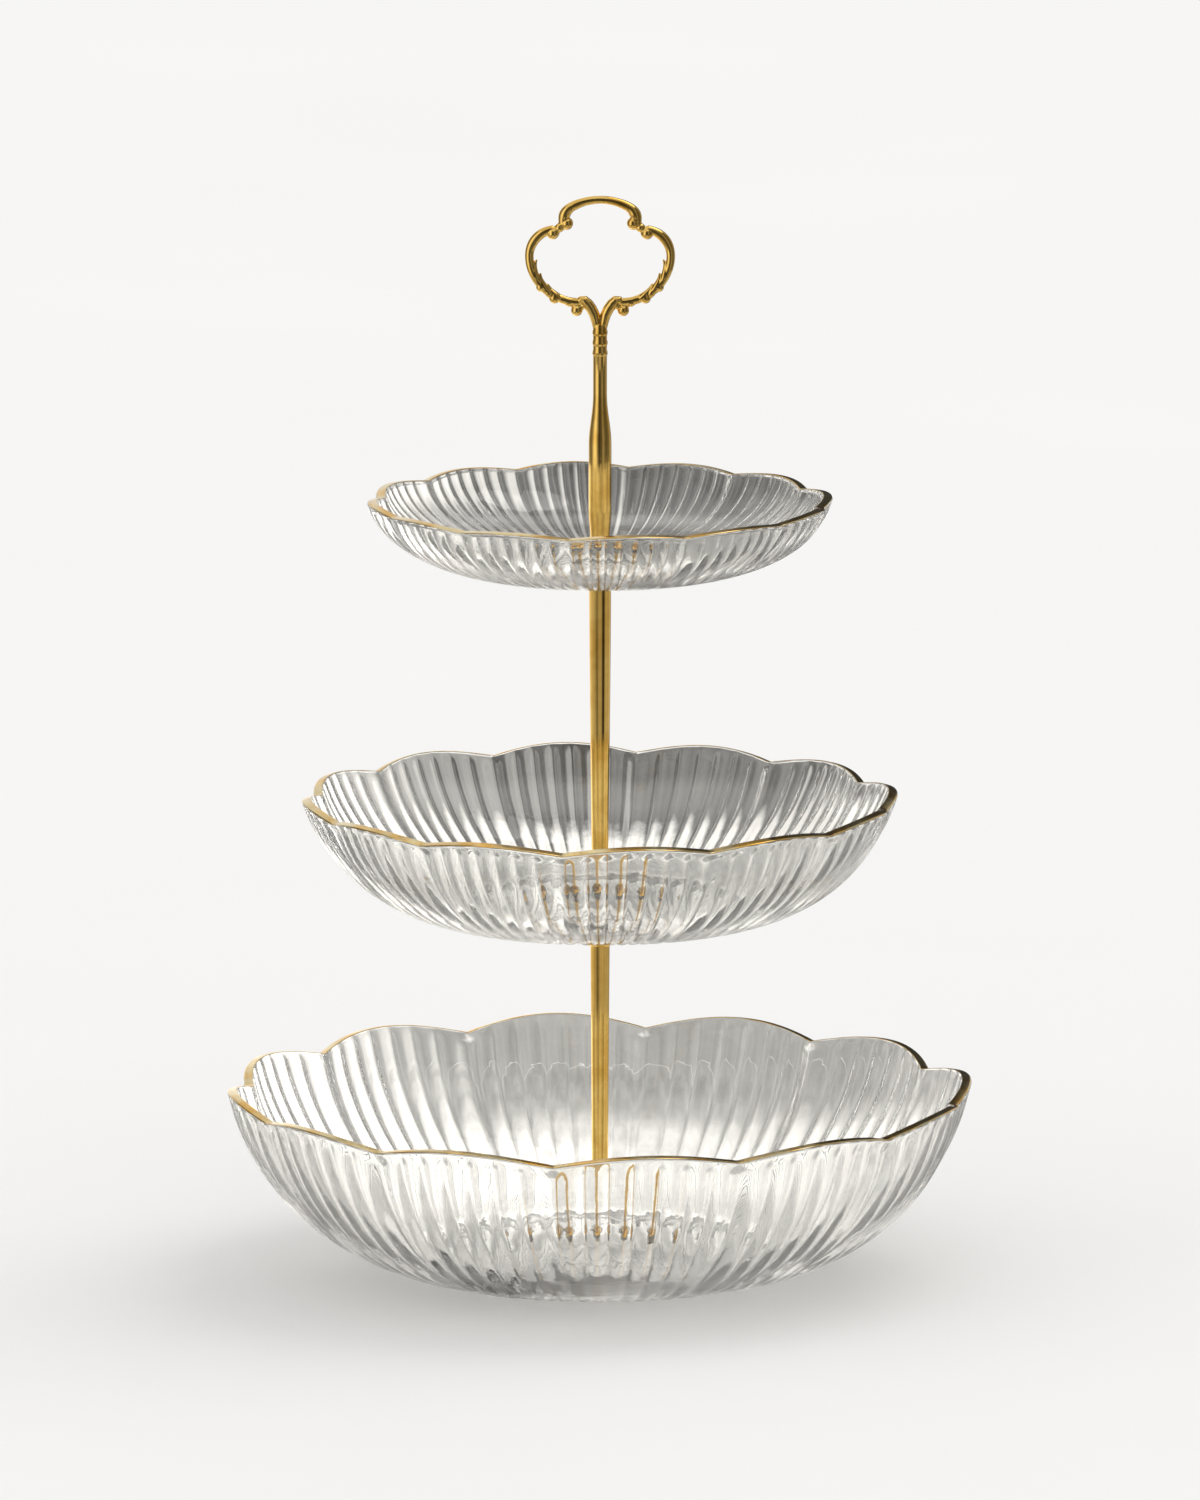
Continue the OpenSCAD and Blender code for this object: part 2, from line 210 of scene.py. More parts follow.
class CakeStand(bpy.types.PropertyGroup):
    """Everything that a user can set on the stand."""

    bottom: PointerProperty(type=BowlSizes, name="Bottom bowl")
    middle: PointerProperty(type=BowlSizes, name="Middle bowl")
    top: PointerProperty(type=BowlSizes, name="Top bowl")
    glass: PointerProperty(type=GlassSizes, name="Glass")
    metal: PointerProperty(type=MetalSizes, name="Metal")
    finishes: PointerProperty(type=Finishes, name="Finishes")
    studio: PointerProperty(type=StudioSettings, name="Studio")


MIDDLE_SIZES = {
    "rim_radius": 0.1041, "rim_height": 0.0423, "foot_radius": 0.0472,
    "petal_out": 0.0038, "petal_up": 0.003, "sweep": math.radians(75.0), "recess": 0.0025,
}
TOP_SIZES = {
    "rim_radius": 0.0811, "rim_height": 0.0258, "foot_radius": 0.0332,
    "petal_out": 0.0029, "petal_up": 0.0016, "sweep": math.radians(86.0), "recess": 0.002,
}


def stand():
    """The stand's settings in the open scene."""
    return bpy.context.scene.cake_stand


# ---- Materials ----


class Shader:
    """A material under construction."""

    def __init__(self, name):
        self.material = bpy.data.materials.new(name)
        self.material.use_nodes = True
        self.nodes = self.material.node_tree.nodes
        self.links = self.material.node_tree.links
        self.surface = self.nodes["Principled BSDF"]
        self.output = self.nodes["Material Output"]

    def add(self, kind, **settings):
        node = self.nodes.new(kind)
        for key, value in settings.items():
            setattr(node, key, value)
        return node

    def wire(self, source, target):
        self.links.new(source, target)

    def set(self, **values):
        for key, value in values.items():
            self.surface.inputs[key.replace("_", " ")].default_value = value

    def object_coords(self, stretch=(1.0, 1.0, 1.0)):
        """Object coordinates, squeezed or stretched along each axis."""
        coords = self.add("ShaderNodeTexCoord")
        mapping = self.add("ShaderNodeMapping")
        mapping.inputs["Scale"].default_value = stretch
        self.wire(coords.outputs["Object"], mapping.inputs["Vector"])
        return mapping.outputs["Vector"]

    def noise(self, scale, detail=2.0, stretch=(1.0, 1.0, 1.0)):
        """Noise on the object's own coordinates."""
        node = self.add("ShaderNodeTexNoise")
        node.inputs["Scale"].default_value = scale
        node.inputs["Detail"].default_value = detail
        self.wire(self.object_coords(stretch), node.inputs["Vector"])
        return node.outputs["Fac"]

    def spread(self, source, low, high, start=0.3, end=0.7):
        """Maps a texture's useful range onto low to high."""
        node = self.add("ShaderNodeMapRange")
        node.inputs["From Min"].default_value = start
        node.inputs["From Max"].default_value = end
        node.inputs["To Min"].default_value = low
        node.inputs["To Max"].default_value = high
        self.wire(source, node.inputs["Value"])
        return node.outputs["Result"]

    def ramp(self, source, stops):
        """A colour ramp through (place, colour) stops."""
        node = self.add("ShaderNodeValToRGB")
        elements = node.color_ramp.elements
        while len(elements) < len(stops):
            elements.new(0.5)
        for element, (place, tone) in zip(elements, stops):
            element.position = place
            element.color = (*tone, 1.0)
        self.wire(source, node.inputs["Fac"])
        return node.outputs["Color"]

    def bump(self, source, strength, distance, under=None):
        """Bump from a height, laid over another bump."""
        node = self.add("ShaderNodeBump")
        node.inputs["Strength"].default_value = strength
        node.inputs["Distance"].default_value = distance
        self.wire(source, node.inputs["Height"])
        if under is not None:
            self.wire(under, node.inputs["Normal"])
        return node.outputs["Normal"]


def gold_material(name, tone, deep, wear, lines, waves):
    """Polished gold plate: tone drift, faint smears in the polish, fine turning or casting marks."""
    shader = Shader(name)
    shader.set(Metallic=1.0)
    drift = shader.noise(90.0, 3.0)
    tones = [(0.36, tuple(deep)), (0.58, tuple(tone))]
    shader.wire(shader.ramp(drift, tones), shader.surface.inputs["Base Color"])
    smear = shader.noise(420.0, 3.0, (1.0, 1.0, 0.35))
    shader.wire(shader.spread(smear, wear[0], wear[1]), shader.surface.inputs["Roughness"])
    marks = shader.noise(lines[0], 1.0, lines[1])
    relief = shader.bump(marks, lines[2], 0.0001)
    cast = shader.noise(waves[0], 2.0)
    relief = shader.bump(cast, waves[1], 0.0006, relief)
    shader.wire(relief, shader.surface.inputs["Normal"])
    return shader.material


SHADOW_PASS = 0.58


def glass_material(name, tint):
    """Pressed soda glass: clear, a little uneven from the mould, with a faint bloom on it.

    Alpha lets a small share of the light through unbent, and shadows pass a plain filter, so that neither the
    flutes nor the shadow under the glass come out too dark.
    """
    shader = Shader(name)
    shader.set(Base_Color=(*tint, 1.0), IOR=1.47, Transmission_Weight=1.0, Alpha=0.91)
    bloom = shader.noise(55.0, 4.0)
    shader.wire(shader.spread(bloom, 0.0, 0.035, 0.45, 0.75), shader.surface.inputs["Roughness"])
    slow = shader.bump(shader.noise(34.0, 2.0), 0.12, 0.004)
    fine = shader.bump(shader.noise(210.0, 2.0, (1.0, 1.0, 0.6)), 0.05, 0.001, slow)
    shader.wire(fine, shader.surface.inputs["Normal"])
    clear = shader.add("ShaderNodeBsdfTransparent")
    clear.inputs["Color"].default_value = (SHADOW_PASS, SHADOW_PASS, SHADOW_PASS, 1.0)
    path = shader.add("ShaderNodeLightPath")
    blend = shader.add("ShaderNodeMixShader")
    shader.wire(path.outputs["Is Shadow Ray"], blend.inputs["Fac"])
    shader.wire(shader.surface.outputs["BSDF"], blend.inputs[1])
    shader.wire(clear.outputs["BSDF"], blend.inputs[2])
    shader.wire(blend.outputs["Shader"], shader.output.inputs["Surface"])
    return shader.material


def silicone_material(name, tone):
    """Translucent silicone with a dusty, slightly uneven skin."""
    shader = Shader(name)
    shader.set(Transmission_Weight=0.55, IOR=1.41)
    tones = [(0.35, tuple(0.9 * c for c in tone)), (0.65, tuple(tone))]
    shader.wire(shader.ramp(shader.noise(600.0, 3.0), tones), shader.surface.inputs["Base Color"])
    shader.wire(shader.spread(shader.noise(900.0), 0.35, 0.55), shader.surface.inputs["Roughness"])
    shader.wire(shader.bump(shader.noise(2600.0), 0.2, 0.0001), shader.surface.inputs["Normal"])
    return shader.material


def steel_material(name, tone):
    """Bright plated steel, a little duller where a wrench has rubbed it."""
    shader = Shader(name)
    shader.set(Metallic=1.0)
    tones = [(0.35, tuple(0.72 * c for c in tone)), (0.6, tuple(tone))]
    shader.wire(shader.ramp(shader.noise(500.0, 3.0), tones), shader.surface.inputs["Base Color"])
    shader.wire(shader.spread(shader.noise(1100.0), 0.2, 0.42), shader.surface.inputs["Roughness"])
    brushed = shader.noise(1800.0, 2.0, (1.0, 1.0, 8.0))
    shader.wire(shader.bump(brushed, 0.15, 0.0001), shader.surface.inputs["Normal"])
    return shader.material


def finish(name):
    """The stand's material of that name, made the first time it is asked for."""
    made = bpy.data.materials.get(name)
    if made is not None:
        return made
    colours = stand().finishes
    gold = tuple(colours.gold)
    deep = tuple(colours.gold_deep)
    makers = {
        "pressed glass": lambda: glass_material(name, stand().glass.tint),
        "turned gold": lambda: gold_material(
            name, gold, deep, (0.05, 0.13), (700.0, (0.12, 0.12, 9.0), 0.03), (30.0, 0.02)
        ),
        "cast gold": lambda: gold_material(
            name, gold, deep, (0.06, 0.15), (1400.0, (1.0, 1.0, 1.0), 0.02), (260.0, 0.06)
        ),
        "gilt line": lambda: gold_material(
            name, tuple(colours.gilt), deep, (0.08, 0.2), (900.0, (1.0, 1.0, 1.0), 0.08), (160.0, 0.08)
        ),
        "soft silicone": lambda: silicone_material(name, colours.silicone),
        "plated steel": lambda: steel_material(name, colours.steel),
    }
    return makers[name]()


# ---- Mesh helpers ----


def piece(name, mesh, body, finish_name, nodes=(), sharp=math.radians(38.0)):
    """Puts a finished mesh in the scene, on its body, with its material, in place of its frame nodes."""
    clean = bmesh.new()
    clean.from_mesh(mesh)
    bmesh.ops.remove_doubles(clean, verts=clean.verts, dist=WELD)
    bmesh.ops.recalc_face_normals(clean, faces=clean.faces)
    clean.to_mesh(mesh)
    clean.free()
    if not mesh.polygons:
        raise RuntimeError(name + " came out empty")
    mesh.shade_smooth()
    if sharp is not None:
        mesh.set_sharp_from_angle(angle=sharp)
    mesh.materials.clear()
    mesh.materials.append(finish(finish_name))
    mesh.name = name
    obj = bpy.data.objects.new(name, mesh)
    bpy.context.scene.collection.objects.link(obj)
    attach(obj, body)
    for node in nodes:
        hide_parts(node)
    return obj


def mesh_of(vertices, faces):
    """A mesh from plain lists."""
    mesh = bpy.data.meshes.new("draft")
    mesh.from_pydata(vertices, [], faces)
    return mesh


def join(meshes):
    """One mesh from several."""
    whole = bmesh.new()
    for mesh in meshes:
        whole.from_mesh(mesh)
        bpy.data.meshes.remove(mesh)
    joined = bpy.data.meshes.new("draft")
    whole.to_mesh(joined)
    whole.free()
    return joined


def turned(profile, segments=96):
    """A mesh turned about Z from a closed loop of (radius, height). Points on the axis make a pole."""
    vertices = []
    faces = []
    count = len(profile)
    for radius, height in profile:
        for step in range(segments):
            turn = math.tau * step / segments
            vertices.append((radius * math.cos(turn), radius * math.sin(turn), height))
    for row in range(count):
        above = (row + 1) % count
        for step in range(segments):
            beside = (step + 1) % segments
            faces.append((row * segments + step, row * segments + beside,
                          above * segments + beside, above * segments + step))
    mesh = mesh_of(vertices, faces)
    mesh.validate()
    return mesh


def rounded(corners, radius, steps=3):
    """A closed loop with each corner rounded to that radius, or to less where its sides are short."""
    loop = []
    count = len(corners)
    for index in range(count):
        here = Vector(corners[index])
        before = Vector(corners[index - 1]) - here
        after = Vector(corners[(index + 1) % count]) - here
        if here.x < WELD or before.length < WELD or after.length < WELD:
            loop.append(tuple(here))
            continue
        reach = min(radius, 0.45 * before.length, 0.45 * after.length)
        start = here + before.normalized() * reach
        end = here + after.normalized() * reach
        for step in range(steps + 1):
            share_done = step / steps
            low = start.lerp(here, share_done)
            high = here.lerp(end, share_done)
            loop.append(tuple(low.lerp(high, share_done)))
    return loop


# ---- Glass ----


class NodeTree:
    """A geometry node tree under construction."""

    def __init__(self, name):
        self.tree = bpy.data.node_groups.new(name, "GeometryNodeTree")
        self.ids = {}
        self.socket("Geometry", "NodeSocketGeometry")
        self.start = self.tree.nodes.new("NodeGroupInput")
        self.tree.interface.new_socket("Geometry", in_out="OUTPUT", socket_type="NodeSocketGeometry")
        self.end = self.tree.nodes.new("NodeGroupOutput")

    def socket(self, name, kind):
        made = self.tree.interface.new_socket(name, in_out="INPUT", socket_type=kind)
        self.ids[name] = made.identifier

    def node(self, kind, wires=None, **settings):
        made = self.tree.nodes.new(kind)
        for key, value in settings.items():
            setattr(made, key, value)
        for key, source in (wires or {}).items():
            target = made.inputs[key]
            if isinstance(source, bpy.types.NodeSocket):
                self.tree.links.new(source, target)
            else:
                target.default_value = source
        return made

    def given(self, name):
        return self.start.outputs[name]

    def math(self, operation, first, second=0.0):
        return self.node("ShaderNodeMath", {0: first, 1: second}, operation=operation).outputs[0]

    def vector(self, operation, first, second):
        key = "Scale" if operation == "SCALE" else 1
        made = self.node("ShaderNodeVectorMath", {0: first, key: second}, operation=operation)
        return made.outputs["Vector"]

    def attribute(self, name, kind):
        made = self.node("GeometryNodeInputNamedAttribute", {"Name": name}, data_type=kind)
        return made.outputs["Attribute"]


# The crease between two petals: its share of a petal's width, and its extra depth as a share of a flute's
CREASE_SHARE = 1.0 / 15.0
CREASE_DEPTH = 0.5


def petal_tree():
    """Turns a profile into a petal-edged, fluted body of revolution.

    The profile's points carry how far they follow a petal out and up, and which way and how far a flute
    cuts them.
    """
    tree = NodeTree("Petal bowl")
    for name, kind in (
        ("Columns", "NodeSocketInt"), ("Petals", "NodeSocketInt"), ("Flutes", "NodeSocketInt"),
        ("Petal Turn", "NodeSocketFloat"), ("Petal Reach", "NodeSocketFloat"),
        ("Petal Lift", "NodeSocketFloat"), ("Flute Depth", "NodeSocketFloat"),
        ("Material", "NodeSocketMaterial"),
    ):
        tree.socket(name, kind)
    profile = tree.given("Geometry")
    columns = tree.given("Columns")
    rows = tree.node("GeometryNodeAttributeDomainSize", {"Geometry": profile}).outputs["Point Count"]
    grid = tree.node(
        "GeometryNodeMeshGrid",
        {"Size X": 1.0, "Size Y": 1.0, "Vertices X": tree.math("ADD", columns, 1.0), "Vertices Y": rows},
    ).outputs["Mesh"]
    index = tree.node("GeometryNodeInputIndex").outputs["Index"]
    column = tree.math("FLOOR", tree.math("DIVIDE", tree.math("ADD", index, 0.5), rows))
    row = tree.math("SUBTRACT", index, tree.math("MULTIPLY", column, rows))
    round_share = tree.math("DIVIDE", column, columns)

    def sampled(value, kind):
        return tree.node(
            "GeometryNodeSampleIndex", {"Geometry": profile, "Value": value, "Index": row}, data_type=kind
        ).outputs["Value"]

    place = sampled(tree.node("GeometryNodeInputPosition").outputs["Position"], "FLOAT_VECTOR")
    carve = sampled(tree.attribute("carve", "FLOAT_VECTOR"), "FLOAT_VECTOR")
    follow = sampled(tree.attribute("follow", "FLOAT_VECTOR"), "FLOAT_VECTOR")
    petal_phase = tree.math("MULTIPLY", round_share, tree.given("Petals"))
    lobe = tree.math("ABSOLUTE", tree.math("SINE", tree.math("MULTIPLY", petal_phase, math.pi)))
    petal_share = tree.math("FRACT", petal_phase)
    from_crease = tree.math("SUBTRACT", petal_share, CREASE_SHARE / 2.0)
    past_crease = tree.math("DIVIDE", from_crease, 1.0 - CREASE_SHARE)
    across = tree.math("MINIMUM", tree.math("MAXIMUM", past_crease, 0.0), 1.0)
    flute_phase = tree.math("FRACT", tree.math("MULTIPLY", across, tree.given("Flutes")))
    to_crease = tree.math("MINIMUM", petal_share, tree.math("SUBTRACT", 1.0, petal_share))
    off_crease = tree.math("DIVIDE", to_crease, CREASE_SHARE / 2.0)
    crease = tree.math("MAXIMUM", tree.math("SUBTRACT", 1.0, off_crease), 0.0)
    off_crest = tree.math("SUBTRACT", tree.math("MULTIPLY", flute_phase, 2.0), 1.0)
    rib = tree.math("MULTIPLY", off_crest, off_crest)
    grooved = tree.math("ADD", rib, tree.math("MULTIPLY", crease, CREASE_DEPTH))
    cut = tree.math("MULTIPLY", grooved, tree.given("Flute Depth"))
    petal = tree.node("ShaderNodeCombineXYZ", {
        "X": tree.math("MULTIPLY", lobe, tree.given("Petal Reach")),
        "Y": 0.0,
        "Z": tree.math("MULTIPLY", lobe, tree.given("Petal Lift")),
    }).outputs["Vector"]
    shaped = tree.vector("ADD", place, tree.vector("SCALE", carve, cut))
    shaped = tree.vector("ADD", shaped, tree.vector("MULTIPLY", follow, petal))
    turn = tree.math("ADD", tree.math("MULTIPLY", round_share, math.tau), tree.given("Petal Turn"))
    parts = tree.node("ShaderNodeSeparateXYZ", {"Vector": shaped}).outputs
    position = tree.node("ShaderNodeCombineXYZ", {
        "X": tree.math("MULTIPLY", parts["X"], tree.math("COSINE", turn)),
        "Y": tree.math("MULTIPLY", parts["X"], tree.math("SINE", turn)),
        "Z": parts["Z"],
    }).outputs["Vector"]
    body = tree.node("GeometryNodeSetPosition", {"Geometry": grid, "Position": position}).outputs["Geometry"]
    welded = tree.node("GeometryNodeMergeByDistance", {"Geometry": body, "Distance": WELD})
    real = tree.node("GeometryNodeRealizeInstances", {"Geometry": welded.outputs["Geometry"]})
    done = tree.node(
        "GeometryNodeSetMaterial", {"Geometry": real.outputs["Geometry"], "Material": tree.given("Material")}
    )
    tree.tree.links.new(done.outputs["Geometry"], tree.end.inputs["Geometry"])
    return tree


def smooth_step(value, start, end):
    """0 before start, 1 after end, eased between them."""
    share_done = min(max((value - start) / (end - start), 0.0), 1.0)
    return share_done * share_done * (3.0 - 2.0 * share_done)


def wall_point(sizes, s):
    """The wall's outer face after a share s of its curve, and the direction from it into the bowl."""
    rise_all = sizes.rim_height - SHELL_LIFT
    run_all = sizes.rim_radius - sizes.foot_radius
    turn = sizes.sweep * s
    radius = sizes.foot_radius + run_all * math.sin(turn) / math.sin(sizes.sweep)
    height = SHELL_LIFT + rise_all * (1.0 - math.cos(turn)) / (1.0 - math.cos(sizes.sweep))
    run = run_all * math.cos(turn) / math.sin(sizes.sweep)
    rise = rise_all * math.sin(turn) / (1.0 - math.cos(sizes.sweep))
    inward = Vector((-rise, 0.0, run)).normalized()
    return Vector((radius, 0.0, height)), inward


def wall_thickness(sizes, glass, s):
    """Glass thickness: even at the rim, growing to the floor's depth at the foot."""
    foot = sizes.recess + glass.floor_wall + 0.0002 - SHELL_LIFT
    return glass.rim_wall + (foot - glass.rim_wall) * (1.0 - s) ** 2


# How far up the wall the flutes reach full depth, and where they fade out again under the lip
FLUTES_FULL = 0.1
FLUTES_FADE = 0.975
WALL_ROWS = 44
INNER_ROWS = 26
LIP_STEPS = 5
LIP_CORNER = 0.9 * MM


def lip(sizes, glass, cut=0.0, stand_out=0.0):
    """Points over the rim, from its outer to its inner side. Cut is how far up each corner they start."""
    top, inward = wall_point(sizes, 1.0)
    upward = Vector((inward.z, 0.0, -inward.x))
    radius = LIP_CORNER + stand_out
    outer = top + (inward - upward) * LIP_CORNER
    inner = top + inward * (glass.rim_wall - LIP_CORNER) - upward * LIP_CORNER
    points = []
    for centre, start, end in ((outer, cut, math.pi / 2.0), (inner, math.pi / 2.0, math.pi - cut)):
        for step in range(LIP_STEPS + 1):
            turn = start + (end - start) * step / LIP_STEPS
            points.append(centre - inward * radius * math.cos(turn) + upward * radius * math.sin(turn))
    return points


def bowl_profile(sizes, glass, base):
    """The closed outline of a bowl: rows of (place, petal follow, flute carve)."""
    rows = []
    still = Vector((0.0, 0.0, 0.0))
    arc_length = sum(
        (wall_point(sizes, (i + 1) / 50)[0] - wall_point(sizes, i / 50)[0]).length for i in range(50)
    )
    wall_end = 1.0 - LIP_CORNER / arc_length

    def follow(s):
        return Vector((s * s, 0.0, s ** 3))

    # outer wall, with the flutes
    for i in range(WALL_ROWS + 1):
        s = wall_end * i / WALL_ROWS
        place, inward = wall_point(sizes, s)
        fade = smooth_step(s, FLUTES_FADE * wall_end, wall_end)
        weight = smooth_step(s, 0.0, FLUTES_FULL) * (1.0 - fade)
        rows.append((place, follow(s), inward * weight * place.x / sizes.rim_radius))
    # the lip, flat on top with rounded corners
    for point in lip(sizes, glass)[1:-1]:
        rows.append((point, follow(1.0), still))
    # inner wall
    for i in range(INNER_ROWS, -1, -1):
        s = wall_end * (i / INNER_ROWS)
        place, inward = wall_point(sizes, s)
        rows.append((place + inward * wall_thickness(sizes, glass, s), follow(s), still))
    # floor, hole, recess and resting ring
    floor = sizes.recess + glass.floor_wall
    ring_inner = sizes.foot_radius - glass.foot_width
    ring_outer = sizes.foot_radius - 0.0002
    flat = [
        (sizes.foot_radius - 0.0022, floor + 0.00012),
        (sizes.foot_radius - 0.0045, floor),
        (0.6 * sizes.foot_radius, floor),
        (0.35 * sizes.foot_radius, floor),
        (glass.hole_radius + 0.0005, floor),
        (glass.hole_radius + 0.00015, floor - 0.00015),
        (glass.hole_radius, floor - 0.0005),
        (glass.hole_radius, sizes.recess + 0.0005),
        (glass.hole_radius + 0.00015, sizes.recess + 0.00015),
        (glass.hole_radius + 0.0005, sizes.recess),
        (0.35 * sizes.foot_radius, sizes.recess),
        (0.6 * sizes.foot_radius, sizes.recess),
        (ring_inner - 0.0012, sizes.recess),
        (ring_inner - 0.00035, sizes.recess - 0.00035),
        (ring_inner, sizes.recess - 0.0012),
        (ring_inner, 0.0006),
        (ring_inner + 0.00018, 0.00018),
        (ring_inner + 0.0006, 0.0),
        (ring_outer - 0.0006, 0.0),
        (ring_outer - 0.00018, 0.00018),
        (ring_outer, 0.0005),
    ]
    for radius, height in flat:
        rows.append((Vector((radius, 0.0, height)), still, still))
    rows.append(rows[0])
    return [(place + Vector((0.0, 0.0, base)), petal, carve) for place, petal, carve in rows]


def gilt_profile(sizes, glass, base):
    """The closed outline of the gilt line: a skin over the crest of the rim."""
    outside = lip(sizes, glass, glass.gilt_cut, glass.gilt_depth)
    inside = lip(sizes, glass, glass.gilt_cut * 0.95, 0.00001)
    petal = Vector((1.0, 0.0, 1.0))
    still = Vector((0.0, 0.0, 0.0))
    loop = outside + inside[::-1]
    loop.append(outside[0])
    return [(point + Vector((0.0, 0.0, base)), petal, still) for point in loop]


def petal_body(name, rows, values):
    """Runs the petal tree on a profile and returns the result as a plain mesh."""
    tree = petal_tree()
    mesh = bpy.data.meshes.new(name + " profile")
    edges = [(i, i + 1) for i in range(len(rows) - 1)]
    mesh.from_pydata([tuple(place) for place, _, _ in rows], edges, [])
    for key, column in (("follow", 1), ("carve", 2)):
        layer = mesh.attributes.new(key, "FLOAT_VECTOR", "POINT")
        for item, entry in zip(layer.data, rows):
            item.vector = entry[column]
    holder = bpy.data.objects.new(name + " profile", mesh)
    bpy.context.scene.collection.objects.link(holder)
    modifier = holder.modifiers.new("Petal bowl", "NODES")
    modifier.node_group = tree.tree
    for key, value in values.items():
        modifier[tree.ids[key]] = value
    bpy.context.view_layer.update()
    graph = bpy.context.evaluated_depsgraph_get()
    result = bpy.data.meshes.new_from_object(holder.evaluated_get(graph))
    holder.modifiers.clear()
    bpy.data.objects.remove(holder)
    bpy.data.meshes.remove(mesh)
    if len(result.polygons) < len(rows):
        raise RuntimeError(name + " didn't build")
    return result


BODIES = {"bottom": "base", "middle": "middle_tier", "top": "top_tier"}
# Columns of faces across one petal, and what petals hold back so that the gilt stays inside the frame's box
PETAL_COLUMNS = 60
GILT_COLUMNS = 30
FIT_MARGIN = 0.12 * MM


class BuildBowls(bpy.types.Operator):
    """Build the three fluted glass bowls"""

    bl_idname = "cake_stand.bowls"
    bl_label = "Glass bowls"

    def execute(self, context):
        settings = context.scene.cake_stand
        glass = settings.glass
        for tier in TIERS:
            sizes = getattr(settings, tier)
            flute_width = math.tau * sizes.rim_radius / (glass.petals * glass.flutes)
            mesh = petal_body(tier, bowl_profile(sizes, glass, cad_low(tier + "_bowl")), {
                "Columns": glass.petals * PETAL_COLUMNS,
                "Petals": glass.petals,
                "Flutes": glass.flutes,
                "Petal Turn": glass.petal_turn,
                "Petal Reach": sizes.petal_out - FIT_MARGIN,
                "Petal Lift": sizes.petal_up,
                "Flute Depth": glass.flute_depth * flute_width,
                "Material": finish("pressed glass"),
            })
            nodes = [tier + "_bowl"]
            piece(tier + "_pressed_glass", mesh, BODIES[tier], "pressed glass", nodes, None)
        return {"FINISHED"}


class BuildGilt(bpy.types.Operator):
    """Build the gilt line round each rim"""

    bl_idname = "cake_stand.gilt"
    bl_label = "Gilt rims"

    def execute(self, context):
        settings = context.scene.cake_stand
        glass = settings.glass
        for tier in TIERS:
            sizes = getattr(settings, tier)
            mesh = petal_body(tier, gilt_profile(sizes, glass, cad_low(tier + "_bowl")), {
                "Columns": glass.petals * GILT_COLUMNS,
                "Petals": glass.petals,
                "Flutes": glass.flutes,
                "Petal Turn": glass.petal_turn,
                "Petal Reach": sizes.petal_out - FIT_MARGIN,
                "Petal Lift": sizes.petal_up,
                "Flute Depth": 0.0,
                "Material": finish("gilt line"),
            })
            piece(tier + "_gilt_rim", mesh, BODIES[tier], "gilt line", sharp=None)
        return {"FINISHED"}


# ---- Column ----

ROD_ROWS = 48


def rod_profile(node, top_radius, foot_radius, power, bore):
    """A tapered rod's closed outline, with its two tapped holes and softened ends."""
    low = cad_low(node)
    high = cad_high(node)
    depth = 0.008
    ease = 0.00025
    outline = [(0.0, low + depth), (bore, low + depth), (bore, low + ease), (bore + ease, low)]
    for row in range(ROD_ROWS + 1):
        s = row / ROD_ROWS
        radius = foot_radius + (top_radius - foot_radius) * (1.0 - (1.0 - s) ** power)
        height = low + ease + (high - low - 2.0 * ease) * s
        if row == 0:
            outline.append((radius - ease, low))
        outline.append((radius, height))
        if row == ROD_ROWS:
            outline.append((radius - ease, high))
    outline += [(bore + ease, high), (bore, high - ease), (bore, high - depth), (0.0, high - depth)]
    return outline


class BuildRods(bpy.types.Operator):
    """Build the two tapered rods"""

    bl_idname = "cake_stand.rods"
    bl_label = "Rods"

    def execute(self, context):
        metal = context.scene.cake_stand.metal
        rods = (
            ("lower_rod", "lower_column", metal.lower_rod_top, metal.lower_taper),
            ("upper_rod", "upper_column", metal.upper_rod_top, metal.upper_taper),
        )
        for node, body, top_radius, power in rods:
            mesh = turned(rod_profile(node, top_radius, metal.rod_foot, power, metal.bore), 128)
            piece(node + "_turned", mesh, body, "turned gold", [node])
        return {"FINISHED"}


def ring_outline(node, inner, bevel):
    """The outline of a ring that fills a frame node's box, as four corners with the outer ones bevelled."""
    low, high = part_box(node)
    outer = high[0]
    return [(inner, low[2]), (outer - bevel, low[2]), (outer, low[2] + bevel),
            (outer, high[2] - bevel), (outer - bevel, high[2]), (inner, high[2])]


class BuildCollars(bpy.types.Operator):
    """Build the collars on the heads of the rods"""

    bl_idname = "cake_stand.collars"
    bl_label = "Collars"

    def execute(self, context):
        metal = context.scene.cake_stand.metal
        collars = (
            ("middle_collar", "lower_column", metal.lower_rod_top),
            ("top_collar", "upper_column", metal.upper_rod_top),
        )
        for node, body, inner in collars:
            outline = rounded(ring_outline(node, inner + 0.00002, 0.0005), 0.00025)
            piece(node + "_turned", turned(outline, 128), body, "turned gold", [node])
        return {"FINISHED"}


METAL_WASHERS = {
    "base_washer": "lower_column", "middle_washer": "lower_column", "top_washer": "upper_column",
}
DOMED_WASHERS = {
    "bottom_rosette": "lower_column", "middle_rosette": "upper_clamp", "top_rosette": "handle_clamp",
}
SOFT_WASHERS = {
    "base_pad": "lower_column", "bottom_pad": "lower_column", "middle_under_pad": "lower_column",
    "middle_pad": "upper_clamp", "top_under_pad": "upper_column", "top_pad": "handle_clamp",
}
WASHER_HOLE = 2.2 * MM


